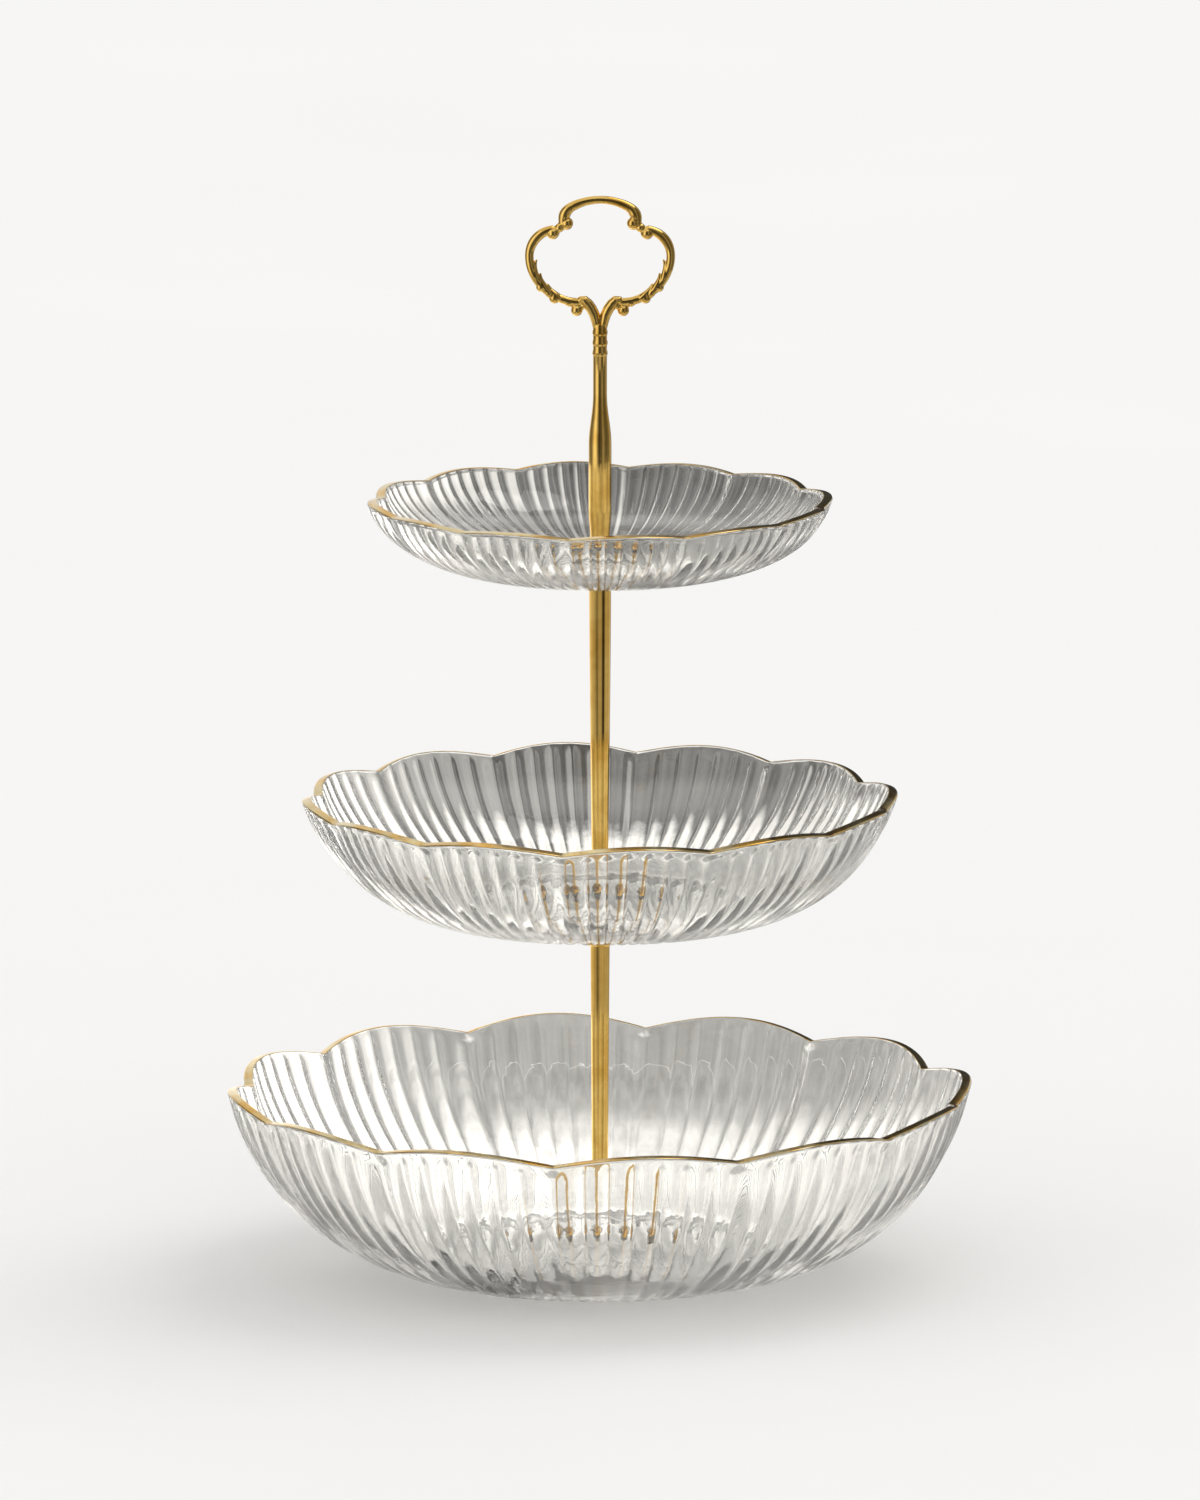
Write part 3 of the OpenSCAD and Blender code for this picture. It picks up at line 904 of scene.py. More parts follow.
class BuildWashers(bpy.types.Operator):
    """Build the metal washers under the glass and the domed ones above it"""

    bl_idname = "cake_stand.washers"
    bl_label = "Metal washers"

    def execute(self, context):
        for node, body in METAL_WASHERS.items():
            outline = rounded(ring_outline(node, WASHER_HOLE, 0.0001), 0.0003)
            piece(node + "_turned", turned(outline, 128), body, "turned gold", [node])
        for node, body in DOMED_WASHERS.items():
            low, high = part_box(node)
            outer = high[0]
            thick = high[2] - low[2]
            dome = [(WASHER_HOLE, low[2]), (outer - 0.0001, low[2]), (outer, low[2] + 0.1 * thick),
                    (outer, low[2] + 0.3 * thick)]
            # the dome's crown rises in a quarter wave to the flat in its middle
            for step in range(1, 9):
                s = step / 8.0
                crown = 0.333 + 0.667 * math.sin(s * math.pi / 2.0) ** 1.2
                dome.append((outer - 2.0 * thick * s, low[2] + thick * crown))
            dome.append((WASHER_HOLE, high[2]))
            piece(node + "_spun", turned(rounded(dome, 0.0001, 2), 128), body, "turned gold", [node])
        return {"FINISHED"}


class BuildSoftWashers(bpy.types.Operator):
    """Build the soft washers between glass and metal"""

    bl_idname = "cake_stand.soft_washers"
    bl_label = "Soft washers"

    def execute(self, context):
        for node, body in SOFT_WASHERS.items():
            outline = rounded(ring_outline(node, WASHER_HOLE, 0.0001), 0.0004, 5)
            piece(node + "_moulded", turned(outline, 96), body, "soft silicone", [node])
        return {"FINISHED"}


def threaded(radius, pitch, low, high):
    """A threaded bar about the Z axis, closed at both ends."""
    segments = 36
    per_turn = 8
    depth = 0.55 * pitch
    rows = int((high - low) / pitch * per_turn)
    vertices = [(0.0, 0.0, low)]
    faces = []
    for row in range(rows + 1):
        height = low + (high - low) * row / rows
        for step in range(segments):
            phase = (height / pitch - step / segments) % 1.0
            groove = depth * abs(2.0 * phase - 1.0)
            edge = min(1.0, (height - low) / pitch, (high - height) / pitch)
            at = radius - groove - (1.0 - edge) * 0.4 * depth
            turn = math.tau * step / segments
            vertices.append((at * math.cos(turn), at * math.sin(turn), height))
    vertices.append((0.0, 0.0, high))
    for step in range(segments):
        beside = (step + 1) % segments
        faces.append((0, 1 + beside, 1 + step))
        last = 1 + rows * segments
        faces.append((last + step, last + beside, len(vertices) - 1))
        for row in range(rows):
            a = 1 + row * segments
            b = a + segments
            faces.append((a + step, a + beside, b + beside, b + step))
    return mesh_of(vertices, faces)


def screw_head(low, high, radius, socket, depth):
    """A low button head, seen from below, with a hexagon socket sunk in it."""
    sides = 6
    segments = 72
    crown = [(1.0, 1.0), (1.0, 0.45), (0.97, 0.22), (0.9, 0.08), (0.8, 0.0)]
    rings = [(radius * r, low + (high - low) * h) for r, h in crown]
    vertices = []
    faces = []
    for reach, level in rings:
        for step in range(segments):
            turn = math.tau * step / segments
            vertices.append((reach * math.cos(turn), reach * math.sin(turn), level))
    for row in range(len(rings) - 1):
        for step in range(segments):
            beside = (step + 1) % segments
            a = row * segments
            b = a + segments
            faces.append((a + step, b + step, b + beside, a + beside))
    for level in (low, low + depth):
        for step in range(segments):
            turn = math.tau * step / segments
            corner = math.pi / sides
            reach = socket * math.cos(corner) / math.cos(turn % (2.0 * corner) - corner)
            vertices.append((reach * math.cos(turn), reach * math.sin(turn), level))
    a = (len(rings) - 1) * segments
    for row in range(2):
        for step in range(segments):
            beside = (step + 1) % segments
            first = a + row * segments
            second = first + segments
            faces.append((first + step, second + step, second + beside, first + beside))
    floor = len(vertices)
    vertices.append((0.0, 0.0, low + depth))
    top = len(vertices)
    vertices.append((0.0, 0.0, high))
    for step in range(segments):
        beside = (step + 1) % segments
        faces.append((floor - segments + step, floor, floor - segments + beside))
        faces.append((step, beside, top))
    return mesh_of(vertices, faces)


SCREW_SHARP = math.radians(50.0)
SOCKET_RADIUS = 1.45 * MM
SOCKET_DEPTH = 1.2 * MM


class BuildFasteners(bpy.types.Operator):
    """Build the two threaded studs and the base screw"""

    bl_idname = "cake_stand.fasteners"
    bl_label = "Studs and screw"

    def execute(self, context):
        metal = context.scene.cake_stand.metal
        for node, body in (("upper_stud", "upper_column"), ("handle_stud", "handle")):
            mesh = threaded(metal.thread, metal.thread_pitch, cad_low(node), cad_high(node))
            piece(node + "_threaded", mesh, body, "plated steel", [node], None)
        low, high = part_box("base_screw")
        head_top = cad_low("base_washer")
        head = screw_head(low[2], head_top, high[0], SOCKET_RADIUS, SOCKET_DEPTH)
        shank = threaded(metal.thread, metal.thread_pitch, head_top - 0.0002, high[2])
        screw = join([head, shank])
        nodes = ["base_screw"]
        piece("base_screw_threaded", screw, "lower_column", "plated steel", nodes, SCREW_SHARP)
        return {"FINISHED"}


# ---- Handle ----


def tube(path, segments=20):
    """A closed round tube through (x, z, radius, thickness) points in the ring's plane, with domed ends.

    Radius is half its width in the plane, and thickness half its depth across the plane.
    """
    count = len(path)
    vertices = []
    faces = []
    caps = 4
    stations = []
    for index, (x, z, radius, thick) in enumerate(path):
        before = path[max(index - 1, 0)]
        after = path[min(index + 1, count - 1)]
        along = Vector((after[0] - before[0], 0.0, after[1] - before[1])).normalized()
        stations.append((Vector((x, 0.0, z)), along, radius, thick))
    ends = []
    for end, sign in ((stations[0], -1.0), (stations[-1], 1.0)):
        dome = []
        for step in range(1, caps + 1):
            turn = math.pi / 2.0 * step / (caps + 0.35)
            place = end[0] + end[1] * sign * end[2] * math.sin(turn)
            dome.append((place, end[1], end[2] * math.cos(turn), end[3] * math.cos(turn)))
        ends.append(dome)
    rows = ends[0][::-1] + stations + ends[1]
    for place, along, radius, thick in rows:
        side = Vector((along.z, 0.0, -along.x))
        for step in range(segments):
            turn = math.tau * step / segments
            point = place + side * radius * math.cos(turn) + Vector((0.0, 1.0, 0.0)) * thick * math.sin(turn)
            vertices.append(tuple(point))
    for row in range(len(rows) - 1):
        for step in range(segments):
            beside = (step + 1) % segments
            a = row * segments
            b = a + segments
            faces.append((a + step, a + beside, b + beside, b + step))
    faces.append(tuple(range(segments))[::-1])
    faces.append(tuple((len(rows) - 1) * segments + step for step in range(segments)))
    return mesh_of(vertices, faces)


def blob(x, z, radius, flat):
    """A ball in the ring's plane, flattened or swollen from front to back."""
    rows = 14
    outline = []
    for row in range(rows + 1):
        turn = math.pi * row / rows
        outline.append((radius * math.sin(turn) if 0 < row < rows else 0.0, -radius * math.cos(turn)))
    mesh = turned(outline, 28)
    mesh.transform(Matrix.Translation((x, 0.0, z)) @ Matrix.Diagonal((1.0, flat, 1.0, 1.0)))
    return mesh


def arc(cx, cz, radius, start, end, widths, steps=24):
    """Points of a tube along an arc, in degrees, its half width passing evenly through the widths."""
    points = []
    for step in range(steps + 1):
        s = step / steps
        turn = math.radians(start + (end - start) * s)
        spot = s * (len(widths) - 1)
        low = min(int(spot), len(widths) - 2)
        blend = smooth_step(spot - low, 0.0, 1.0)
        width = widths[low] + (widths[low + 1] - widths[low]) * blend
        points.append((cx + radius * math.cos(turn), cz + radius * math.sin(turn), width, width))
    return points


def volute(cx, cz, start, turns, outer, inner, first, last, steps=44):
    """Points of a scroll winding in towards its eye. Negative turns wind clockwise."""
    points = []
    for step in range(steps + 1):
        s = step / steps
        turn = math.radians(start) + math.tau * turns * s
        radius = outer + (inner - outer) * s ** 0.8
        width = first + (last - first) * s
        thick = width * (1.0 + 0.25 * s)
        points.append((cx + radius * math.cos(turn), cz + radius * math.sin(turn), width, thick))
    return points


def leaf(cx, cz, radius, start, end, lift, widest):
    """Points of a leaf along the ring's side. Its tip lifts inwards, or outwards if lift is negative."""
    points = []
    steps = 16
    for step in range(steps + 1):
        s = step / steps
        turn = math.radians(start + (end - start) * s)
        at = radius + 0.2 * lift * (1.0 - s) - lift * s ** 1.8
        width = widest * (0.45 + 0.55 * math.sin(math.pi * min(s * 1.25, 1.0) * 0.85)) * (1.0 - 0.7 * s ** 4)
        thick = max(1.2 * width, 0.4)
        points.append((cx + at * math.cos(turn), cz + at * math.sin(turn), max(width, 0.35), thick))
    return points


def squashed(points, middle):
    """The same points with what lies below the middle drawn up, as the ring's lower half is flatter."""
    return [(x, z if z > middle else middle - (middle - z) * SIDE_SQUASH, radius, thick)
            for x, z, radius, thick in points]


SIDE_SQUASH = 0.925
RING_DRAWN_W = 53.6
SCROLL_R = 1.35


def ring_paths(ring_z, crown_top, half_width, bar):
    """The left half of the carrying ring in millimetres: each path is one strand of the casting."""
    scale = 2.0 * half_width / RING_DRAWN_W
    side_x = half_width - 1.05 * bar - 0.2
    side_r = 18.0 * scale
    shoulder_r = 9.5 * scale
    crown_r = 21.0 * scale
    corner_r = 6.0 * scale
    crown_turn = 28.0
    crown_z = crown_top - bar - crown_r
    corner_x = -(crown_r - corner_r) * math.sin(math.radians(crown_turn))
    corner_z = crown_z + (crown_r - corner_r) * math.cos(math.radians(crown_turn))
    side_cx = side_r - side_x
    shoulder_cx = shoulder_r - side_x
    paths = []
    # the arch, its corner and the scroll that it ends in
    arch = arc(0.0, crown_z, crown_r, 88.0, 90.0 + crown_turn, [bar * 0.95, bar * 1.0, bar * 1.15])
    corner = arc(corner_x, corner_z, corner_r, 90.0 + crown_turn, 188.0, [bar * 1.15, bar * 1.4, bar * 1.1])
    end = corner[-1]
    eye_x = end[0] + SCROLL_R * math.cos(math.radians(8.0))
    eye_z = end[1] + SCROLL_R * math.sin(math.radians(8.0))
    scroll = volute(eye_x, eye_z, 188.0, 0.92, SCROLL_R, 0.7, bar * 0.95, bar * 0.55)
    paths.append(arch + corner[1:] + scroll[1:])
    corner_eye = (eye_x, eye_z)
    # the side's shoulder and its scroll
    rise = arc(shoulder_cx, ring_z, shoulder_r, 180.0, 98.0, [bar * 1.05, bar * 1.2, bar * 1.05])
    end = rise[-1]
    eye_x = end[0] - SCROLL_R * math.cos(math.radians(98.0))
    eye_z = end[1] - SCROLL_R * math.sin(math.radians(98.0))
    scroll = volute(eye_x, eye_z, 98.0, -0.92, SCROLL_R, 0.7, bar * 0.95, bar * 0.55)
    side = arc(side_cx, ring_z, side_r, 266.0, 180.0, [bar * 1.05, bar * 0.95, bar * 1.0, bar * 1.05], 40)
    paths.append(squashed(side, ring_z) + rise[1:] + scroll[1:])
    shoulder_eye = (eye_x, eye_z)
    # leaves along the side: most lift inwards, and their roots curl out between them
    for start, tip, lift, widest in (
        (226.0, 186.0, 2.5, 1.35), (241.0, 206.0, 2.4, 1.45), (256.0, 224.0, 2.2, 1.45),
        (268.0, 240.0, 1.6, 1.3), (204.0, 224.0, -1.1, 1.3), (223.0, 244.0, -1.5, 1.5),
        (243.0, 260.0, -0.9, 1.3),
    ):
        paths.append(squashed(leaf(side_cx, ring_z, side_r, start, tip, lift, widest), ring_z))
    # the fork's arm, from its shoulder down to the neck, and the scroll that hangs on it
    join_x = side_cx + side_r * math.cos(math.radians(275.0))
    join_z = ring_z + SIDE_SQUASH * side_r * math.sin(math.radians(275.0))
    paths.append([
        (join_x - 2.4, join_z - 0.3, 1.2, 1.4), (join_x - 1.3, join_z + 0.8, 1.5, 1.7),
        (join_x - 0.2, join_z + 0.7, 1.8, 2.0), (join_x + 1.2, join_z - 0.6, 2.0, 2.2),
        (join_x + 2.5, join_z - 2.4, 2.0, 2.3), (join_x + 3.5, join_z - 4.5, 1.95, 2.3),
        (join_x + 4.1, join_z - 7.0, 1.7, 2.2), (join_x + 4.5, join_z - 9.8, 1.4, 1.9),
        (join_x + 4.7, join_z - 13.0, 1.1, 1.6),
    ])
    eye_x = join_x - 2.8
    eye_z = join_z - 2.9
    paths.append(
        [(join_x + 1.6, join_z - 2.2, 1.3, 1.6), (join_x + 0.3, join_z - 0.8, 1.3, 1.5)]
        + volute(eye_x, eye_z, 38.0, 0.95, SCROLL_R, 0.7, 1.2, 0.75)
    )
    fork_eye = (eye_x, eye_z)
    between_x = (corner_eye[0] + shoulder_eye[0]) / 2.0
    between_z = (corner_eye[1] + shoulder_eye[1]) / 2.0
    balls = [
        (*corner_eye, 2.2, 1.05), (*shoulder_eye, 2.2, 1.05), (*fork_eye, 2.1, 1.05),
        (between_x - 0.2, between_z + 0.2, 1.7, 1.0),
    ]
    # the rounded backs of the leaves
    for turn, out, radius in ((221.0, 0.4, 1.75), (241.0, 0.7, 1.95), (258.0, 0.3, 1.7)):
        at = side_r + out
        x = side_cx + at * math.cos(math.radians(turn))
        z = ring_z + SIDE_SQUASH * at * math.sin(math.radians(turn))
        balls.append((x, z, radius, 0.95))
    return paths, balls


# A neck ring's section, as (height from its middle, how far it stands out)
NECK_RING = ((-1.1, 0.0), (-0.85, 0.08), (-0.5, 0.21), (0.0, 0.26), (0.5, 0.21), (0.85, 0.08), (1.1, 0.0))


def stem_profile(neck, swell, bore, swell_top, neck_low, rings, top):
    """The stem's closed outline in millimetres: foot, waist, swell, long taper and neck rings."""
    waist = swell - 0.6
    outline = [(0.0, 8.0), (bore, 8.0), (bore, 0.2), (bore + 0.2, 0.0),
               (swell + 0.4, 0.0), (swell + 0.6, 0.2), (swell + 0.6, 0.9), (swell + 0.4, 1.2)]
    for step in range(9):
        s = step / 8.0
        outline.append((waist + (swell + 0.3 - waist) * (1.0 - s) ** 2.2, 1.35 + 1.8 * s))
    for step in range(1, 17):
        s = step / 16.0
        outline.append((waist + (swell - waist) * (1.0 - math.cos(math.pi * s)) / 2.0, 4.0 + 11.0 * s))
    for step in range(1, 6):
        outline.append((swell, 15.0 + (swell_top - 15.0) * step / 5.0))
    for step in range(1, 25):
        s = step / 24.0
        outline.append((neck + (swell - neck) * (1.0 + math.cos(math.pi * s)) / 2.0,
                        swell_top + (neck_low - swell_top) * s))
    for height in rings:
        for offset, lift in NECK_RING:
            outline.append((neck + lift, height + offset))
    outline += [(neck, top), (0.0, top)]
    return outline


VOXEL = 0.00022


def cast_together(meshes):
    """Fuses overlapping shells into one smooth casting."""
    joined = join(meshes)
    holder = bpy.data.objects.new("casting draft", joined)
    bpy.context.scene.collection.objects.link(holder)
    fuse = holder.modifiers.new("Fuse", "REMESH")
    fuse.mode = "VOXEL"
    fuse.voxel_size = VOXEL
    ease = holder.modifiers.new("Ease", "SMOOTH")
    ease.factor = 0.5
    ease.iterations = 3
    bpy.context.view_layer.update()
    graph = bpy.context.evaluated_depsgraph_get()
    result = bpy.data.meshes.new_from_object(holder.evaluated_get(graph))
    holder.modifiers.clear()
    bpy.data.objects.remove(holder)
    bpy.data.meshes.remove(joined)
    return result


class BuildHandle(bpy.types.Operator):
    """Build the cast handle: its stem, neck rings, fork and scrolled ring"""

    bl_idname = "cake_stand.handle"
    bl_label = "Handle"

    def execute(self, context):
        metal = context.scene.cake_stand.metal
        low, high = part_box("handle")
        foot = low[2]
        crown_top = (high[2] - foot) / MM
        half_width = (high[0] - low[0]) / 2.0 / MM
        bar = metal.ring_bar / MM
        scale = 2.0 * half_width / RING_DRAWN_W
        ring_z = crown_top - 21.6 * scale
        fork_z = ring_z - 24.4 * scale
        paths, balls = ring_paths(ring_z, crown_top, half_width, bar)
        shells = []
        for side in (1.0, -1.0):
            for path in paths:
                shells.append(tube([(side * x, z, radius, thick) for x, z, radius, thick in path]))
            for x, z, radius, flat in balls:
                shells.append(blob(side * x, z, radius, flat))
        rings_z = [fork_z - 10.4 + 3.7 * i for i in range(3)]
        swell_top = 0.466 * fork_z
        neck_low = swell_top + 0.55 * (rings_z[0] - swell_top)
        stem = stem_profile(
            metal.neck / MM, metal.swell / MM, metal.bore / MM, swell_top, neck_low, rings_z, fork_z
        )
        split = rings_z[0]
        neck = [(radius, height) for radius, height in stem if height >= split - 0.01]
        shells.append(turned([(0.0, split)] + neck, 64))
        shaft = [(radius, height) for radius, height in stem if height <= split + 0.01]
        shaft_mesh = turned(shaft + [(0.0, split)], 128)
        place = Matrix.Translation((0.0, 0.0, foot)) @ Matrix.Scale(MM, 4)
        for mesh in shells + [shaft_mesh]:
            mesh.transform(place)
        whole = join([cast_together(shells), shaft_mesh])
        piece("handle_casting", whole, "handle", "cast gold", ["handle"], math.radians(55.0))
        return {"FINISHED"}


# ---- Studio ----

TARGET = Vector((0.0, 0.0, 0.1904))
CAMERA_DISTANCE = 6.463
CAMERA_PITCH = math.radians(10.3)
CAMERA_LENS = 432.0
TENT_RADIUS = 0.36
TENT_HEIGHT = 0.78
FLOOR_HALF = 25.0


def floor_material(tone):
    """A pale, faintly mottled floor."""
    shader = Shader("studio floor")
    mottle = shader.noise(3.0, 2.0)
    tones = [(0.3, tuple(0.985 * c for c in tone)), (0.7, tuple(tone))]
    shader.wire(shader.ramp(mottle, tones), shader.surface.inputs["Base Color"])
    shader.set(Roughness=0.9)
    shader.surface.inputs["Specular IOR Level"].default_value = 0.0
    return shader.material


def card_colour(shader, share_round, height, rings):
    """Blends rings of cards up the tent. Each is (height where it starts, height where it is full, stops)."""
    tone = None
    for start, full, stops in rings:
        tones = [(place, tuple(bright * c / CARD_PEAK for c in CARD_TINT)) for place, bright in stops]
        ring = shader.ramp(share_round, tones)
        if tone is None:
            tone = ring
        else:
            blend = shader.add("ShaderNodeMix", data_type="RGBA")
            shader.wire(shader.spread(height, 0.0, 1.0, start, full), blend.inputs["Factor"])
            shader.wire(tone, blend.inputs["A"])
            shader.wire(ring, blend.inputs["B"])
            tone = blend.outputs["Result"]
    return tone


def tent_material(name, strength, seen_rings, mirrored_rings, lying=False):
    """The cards round the stand, which only glass and metal show: one set through glass, one mirrored."""
    shader = Shader(name)
    split = shader.add("ShaderNodeSeparateXYZ")
    shader.wire(shader.object_coords(), split.inputs["Vector"])
    around = shader.add("ShaderNodeMath", operation="ARCTAN2")
    shader.wire(split.outputs["X"], around.inputs[0])
    shader.wire(split.outputs["Y"], around.inputs[1])
    # 0 is straight behind the stand, and the share grows to the right and round the front back to 1
    lap = shader.add("ShaderNodeMath", operation="DIVIDE")
    shader.wire(around.outputs[0], lap.inputs[0])
    lap.inputs[1].default_value = math.tau
    lift = shader.add("ShaderNodeMath", operation="ADD")
    shader.wire(lap.outputs[0], lift.inputs[0])
    lift.inputs[1].default_value = 1.0
    wrap = shader.add("ShaderNodeMath", operation="FRACT")
    shader.wire(lift.outputs[0], wrap.inputs[0])
    height = split.outputs["Z"]
    if lying:
        reach = shader.add("ShaderNodeVectorMath", operation="LENGTH")
        shader.wire(shader.object_coords(), reach.inputs[0])
        height = reach.outputs["Value"]
    seen = card_colour(shader, wrap.outputs[0], height, seen_rings)
    mirrored = card_colour(shader, wrap.outputs[0], height, mirrored_rings)
    path = shader.add("ShaderNodeLightPath")
    blend = shader.add("ShaderNodeMix", data_type="RGBA")
    shader.wire(path.outputs["Is Transmission Ray"], blend.inputs["Factor"])
    shader.wire(mirrored, blend.inputs["A"])
    shader.wire(seen, blend.inputs["B"])
    streaks = shader.noise(26.0, 3.0, (1.0, 1.0, 0.25))
    bright = shader.add("ShaderNodeMath", operation="MULTIPLY")
    shader.wire(shader.spread(streaks, 0.82, 1.18, 0.35, 0.65), bright.inputs[0])
    bright.inputs[1].default_value = strength * CARD_PEAK
    glow = shader.add("ShaderNodeEmission")
    shader.wire(blend.outputs["Result"], glow.inputs["Color"])
    shader.wire(bright.outputs[0], glow.inputs["Strength"])
    shader.wire(glow.outputs["Emission"], shader.output.inputs["Surface"])
    shader.nodes.remove(shader.surface)
    shader.material.cycles.emission_sampling = "NONE"
    return shader.material


# All the cards are one warm white, lit to different strengths. Each stop is (share of the way round,
# brightness). Share 0 is behind the stand, 0.25 is on its right, 0.5 in front and 0.75 on its left.
CARD_TINT = (1.03, 1.0, 0.94)
CARD_PEAK = 2.0
DAZZLE = 1.9
BRIGHT = 1.55
WHITE = 1.2
PALE = 0.9
SOFT = 0.68
GREY = 0.4
DIM = 0.2
DARK = 0.08
SHADE = 0.05
SEEN_NEAR = [
    (0.0, PALE), (0.07, WHITE), (0.12, BRIGHT), (0.18, PALE), (0.26, SOFT), (0.34, PALE), (0.4, GREY),
    (0.5, PALE), (0.57, SOFT), (0.64, PALE), (0.7, GREY), (0.76, SOFT), (0.81, PALE), (0.85, BRIGHT),
    (0.92, DAZZLE), (0.96, WHITE),
]
SEEN_LOW = [
    (0.0, GREY), (0.1, GREY), (0.14, PALE), (0.17, GREY), (0.2, PALE), (0.27, SOFT), (0.32, PALE),
    (0.38, GREY), (0.45, SOFT), (0.5, PALE), (0.56, GREY), (0.62, SOFT), (0.68, PALE), (0.73, GREY),
    (0.79, SOFT), (0.84, BRIGHT), (0.9, DAZZLE), (0.94, WHITE), (0.97, GREY),
]
SEEN_PALE = [
    (0.0, WHITE), (0.1, WHITE), (0.16, GREY), (0.2, WHITE), (0.27, SOFT), (0.34, PALE), (0.41, GREY),
    (0.48, PALE), (0.55, SOFT), (0.62, PALE), (0.69, GREY), (0.75, SOFT), (0.8, PALE), (0.86, BRIGHT),
    (0.92, DAZZLE), (0.97, WHITE),
]
SEEN_HIGH = [
    (0.0, DIM), (0.035, DIM), (0.05, DARK), (0.058, PALE), (0.066, DIM), (0.08, DARK), (0.095, SHADE),
    (0.105, DIM), (0.12, SHADE), (0.135, GREY), (0.15, SHADE), (0.18, SHADE), (0.2, PALE), (0.27, SOFT),
    (0.33, PALE), (0.39, GREY), (0.46, SOFT), (0.52, PALE), (0.58, GREY), (0.65, PALE), (0.71, SOFT),
    (0.77, GREY), (0.81, PALE), (0.86, BRIGHT), (0.91, DAZZLE), (0.94, PALE), (0.955, GREY),
    (0.984, GREY), (0.989, DARK),
]
SEEN_TOP = [
    (0.0, DIM), (0.03, DARK), (0.04, DIM), (0.05, DARK), (0.06, GREY), (0.066, DARK),
    (0.08, SHADE), (0.1, DIM), (0.11, SHADE), (0.14, SHADE), (0.155, GREY), (0.18, SHADE), (0.21, PALE),
    (0.28, GREY), (0.35, PALE), (0.42, SOFT), (0.48, GREY), (0.55, PALE), (0.62, SOFT), (0.69, PALE),
    (0.75, GREY), (0.8, PALE), (0.86, BRIGHT), (0.9, DAZZLE), (0.95, WHITE), (0.97, PALE), (0.982, GREY),
    (0.988, DARK),
]
MIRRORED_LOW = [
    (0.0, PALE), (0.03, GREY), (0.1, GREY), (0.24, 0.52), (0.34, 0.5), (0.4, 0.55), (0.5, 0.56),
    (0.555, 0.27), (0.58, 0.14), (0.605, 0.21), (0.64, 0.49), (0.72, 0.61), (0.8, 0.82), (0.88, PALE),
    (0.95, WHITE),
]
MIRRORED_MIDDLE = [
    (0.0, PALE), (0.025, SHADE), (0.08, SHADE), (0.11, PALE), (0.2, 0.51), (0.33, 0.55), (0.35, 0.37),
    (0.37, SHADE), (0.425, SHADE), (0.45, 0.39), (0.5, 0.49), (0.54, 0.47), (0.575, 0.18), (0.6, 0.21),
    (0.66, 0.49), (0.76, 0.68), (0.85, 0.93), (0.95, WHITE),
]
MIRRORED_HIGH = [
    (0.0, 0.58), (0.035, SHADE), (0.08, SHADE), (0.12, 0.65), (0.2, 0.28), (0.3, 0.12), (0.36, 0.16),
    (0.41, 0.4), (0.45, 0.13), (0.53, SHADE), (0.57, 0.35), (0.62, 1.24), (0.66, 1.37), (0.7, 0.75),
    (0.76, 0.21), (0.84, 0.2), (0.9, PALE),
]
SEEN_RINGS = (
    (0.0, 0.0, SEEN_LOW), (0.03, 0.05, SEEN_PALE), (0.07, 0.085, SEEN_HIGH), (0.17, 0.19, SEEN_TOP),
)
MIRRORED_RINGS = ((0.0, 0.0, MIRRORED_LOW), (0.05, 0.065, MIRRORED_MIDDLE), (0.188, 0.2, MIRRORED_HIGH))
# on the table card they spread from the middle outwards instead of upwards
TABLE_SEEN = ((0.0, 0.0, SEEN_NEAR), (0.19, 0.27, SEEN_LOW))
TABLE_MIRRORED = ((0.0, 0.0, MIRRORED_LOW),)


def stage_only_for_glass(obj):
    """Hides a card from everything but glass and metal."""
    obj.visible_camera = False
    obj.visible_diffuse = False
    obj.visible_shadow = False
    obj.visible_volume_scatter = False


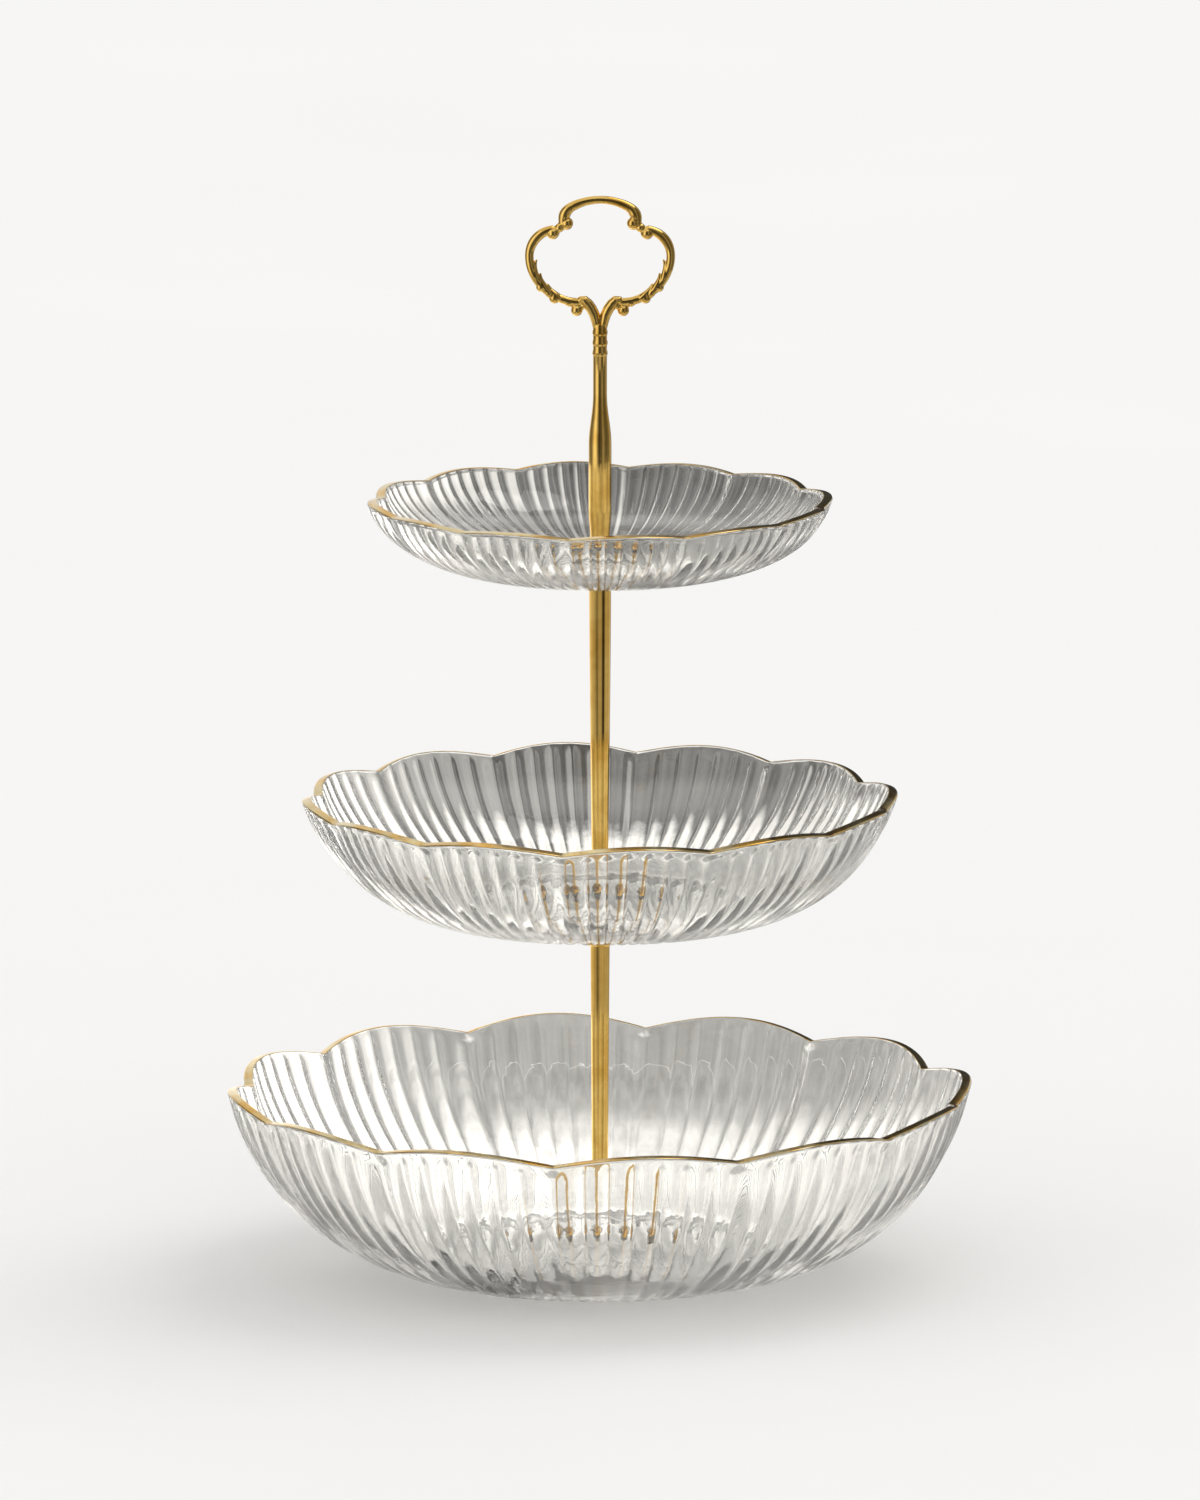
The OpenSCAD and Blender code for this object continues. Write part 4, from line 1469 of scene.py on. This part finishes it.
class BuildStage(bpy.types.Operator):
    """Build the floor, the lights, the cards and the camera"""

    bl_idname = "cake_stand.stage"
    bl_label = "Studio"

    def execute(self, context):
        scene = context.scene
        studio = scene.cake_stand.studio
        scene.view_settings.view_transform = "Standard"
        floor = mesh_of([(-FLOOR_HALF, -FLOOR_HALF, 0.0), (FLOOR_HALF, -FLOOR_HALF, 0.0),
                         (FLOOR_HALF, FLOOR_HALF, 0.0), (-FLOOR_HALF, FLOOR_HALF, 0.0)], [(0, 1, 2, 3)])
        floor.materials.append(floor_material(studio.floor))
        floor_object = bpy.data.objects.new("studio floor", floor)
        floor_object.location.z = -0.0001
        scene.collection.objects.link(floor_object)

        sides = 96
        ring = [(TENT_RADIUS * math.cos(math.tau * i / sides), TENT_RADIUS * math.sin(math.tau * i / sides))
                for i in range(sides)]
        vertices = [(x, y, 0.0005) for x, y in ring] + [(x, y, TENT_HEIGHT) for x, y in ring]
        faces = [(i, (i + 1) % sides, sides + (i + 1) % sides, sides + i) for i in range(sides)]
        tent = mesh_of(vertices, faces)
        tent.materials.append(tent_material("light tent", studio.tent, SEEN_RINGS, MIRRORED_RINGS))
        tent_object = bpy.data.objects.new("light tent", tent)
        scene.collection.objects.link(tent_object)
        stage_only_for_glass(tent_object)

        # The table card glows, and only glass and metal show it: in them it stands in for the lit floor under
        # the stand, as painted light and shade in strips round the middle.
        vertices = [(0.0, 0.0, 0.0002)] + [(x, y, 0.0002) for x, y in ring]
        faces = [(0, 1 + i, 1 + (i + 1) % sides) for i in range(sides)]
        table_card = mesh_of(vertices, faces)
        table_card.materials.append(
            tent_material("table card", studio.tent, TABLE_SEEN, TABLE_MIRRORED, lying=True)
        )
        table_object = bpy.data.objects.new("table card", table_card)
        scene.collection.objects.link(table_object)
        stage_only_for_glass(table_object)

        sun = bpy.data.lights.new("key", "SUN")
        sun.energy = studio.key
        sun.angle = math.radians(40.0)
        sun.color = (1.0, 0.98, 0.95)
        sun_object = bpy.data.objects.new("key", sun)
        sun_object.rotation_euler = Vector((-0.55, -0.35, -1.0)).to_track_quat("-Z", "Y").to_euler()
        scene.collection.objects.link(sun_object)

        world = bpy.data.worlds.new("studio air")
        world.use_nodes = True
        sky = world.node_tree.nodes["Background"]
        sky.inputs["Color"].default_value = (1.0, 0.995, 0.985, 1.0)
        sky.inputs["Strength"].default_value = studio.sky
        scene.world = world

        lens = bpy.data.cameras.new("camera")
        lens.lens = CAMERA_LENS
        lens.sensor_width = 36.0
        lens.clip_end = 200.0
        camera = bpy.data.objects.new("camera", lens)
        back = Vector((0.0, -math.cos(CAMERA_PITCH), math.sin(CAMERA_PITCH)))
        camera.location = TARGET + back * CAMERA_DISTANCE
        camera.rotation_euler = (math.pi / 2.0 - CAMERA_PITCH, 0.0, 0.0)
        scene.collection.objects.link(camera)
        bpy.context.scene.camera = camera
        return {"FINISHED"}


BUILDERS = (
    BuildBowls, BuildGilt, BuildRods, BuildCollars, BuildWashers, BuildSoftWashers, BuildFasteners,
    BuildHandle, BuildStage,
)


class CakeStandPanel(bpy.types.Panel):
    """Lists the stand's pieces in the order they are built"""

    bl_idname = "VIEW3D_PT_cake_stand"
    bl_label = "Cake Stand"
    bl_space_type = "VIEW_3D"
    bl_region_type = "UI"
    bl_category = "Cake Stand"

    def draw(self, context):
        for builder in BUILDERS:
            self.layout.operator(builder.bl_idname)


CLASSES = (
    BowlSizes, GlassSizes, MetalSizes, Finishes, StudioSettings, CakeStand, *BUILDERS, CakeStandPanel,
)


def register():
    for item in CLASSES:
        bpy.utils.register_class(item)
    bpy.types.Scene.cake_stand = PointerProperty(type=CakeStand, name="Cake stand")


def unregister():
    del bpy.types.Scene.cake_stand
    for item in reversed(CLASSES):
        bpy.utils.unregister_class(item)


def main():
    """Builds the whole stand and its studio."""
    register()
    for sizes, values in ((stand().middle, MIDDLE_SIZES), (stand().top, TOP_SIZES)):
        for key, value in values.items():
            setattr(sizes, key, value)
    bpy.ops.cake_stand.bowls()
    bpy.ops.cake_stand.gilt()
    bpy.ops.cake_stand.rods()
    bpy.ops.cake_stand.collars()
    bpy.ops.cake_stand.washers()
    bpy.ops.cake_stand.soft_washers()
    bpy.ops.cake_stand.fasteners()
    bpy.ops.cake_stand.handle()
    bpy.ops.cake_stand.stage()


if __name__ == "__main__":
    main()
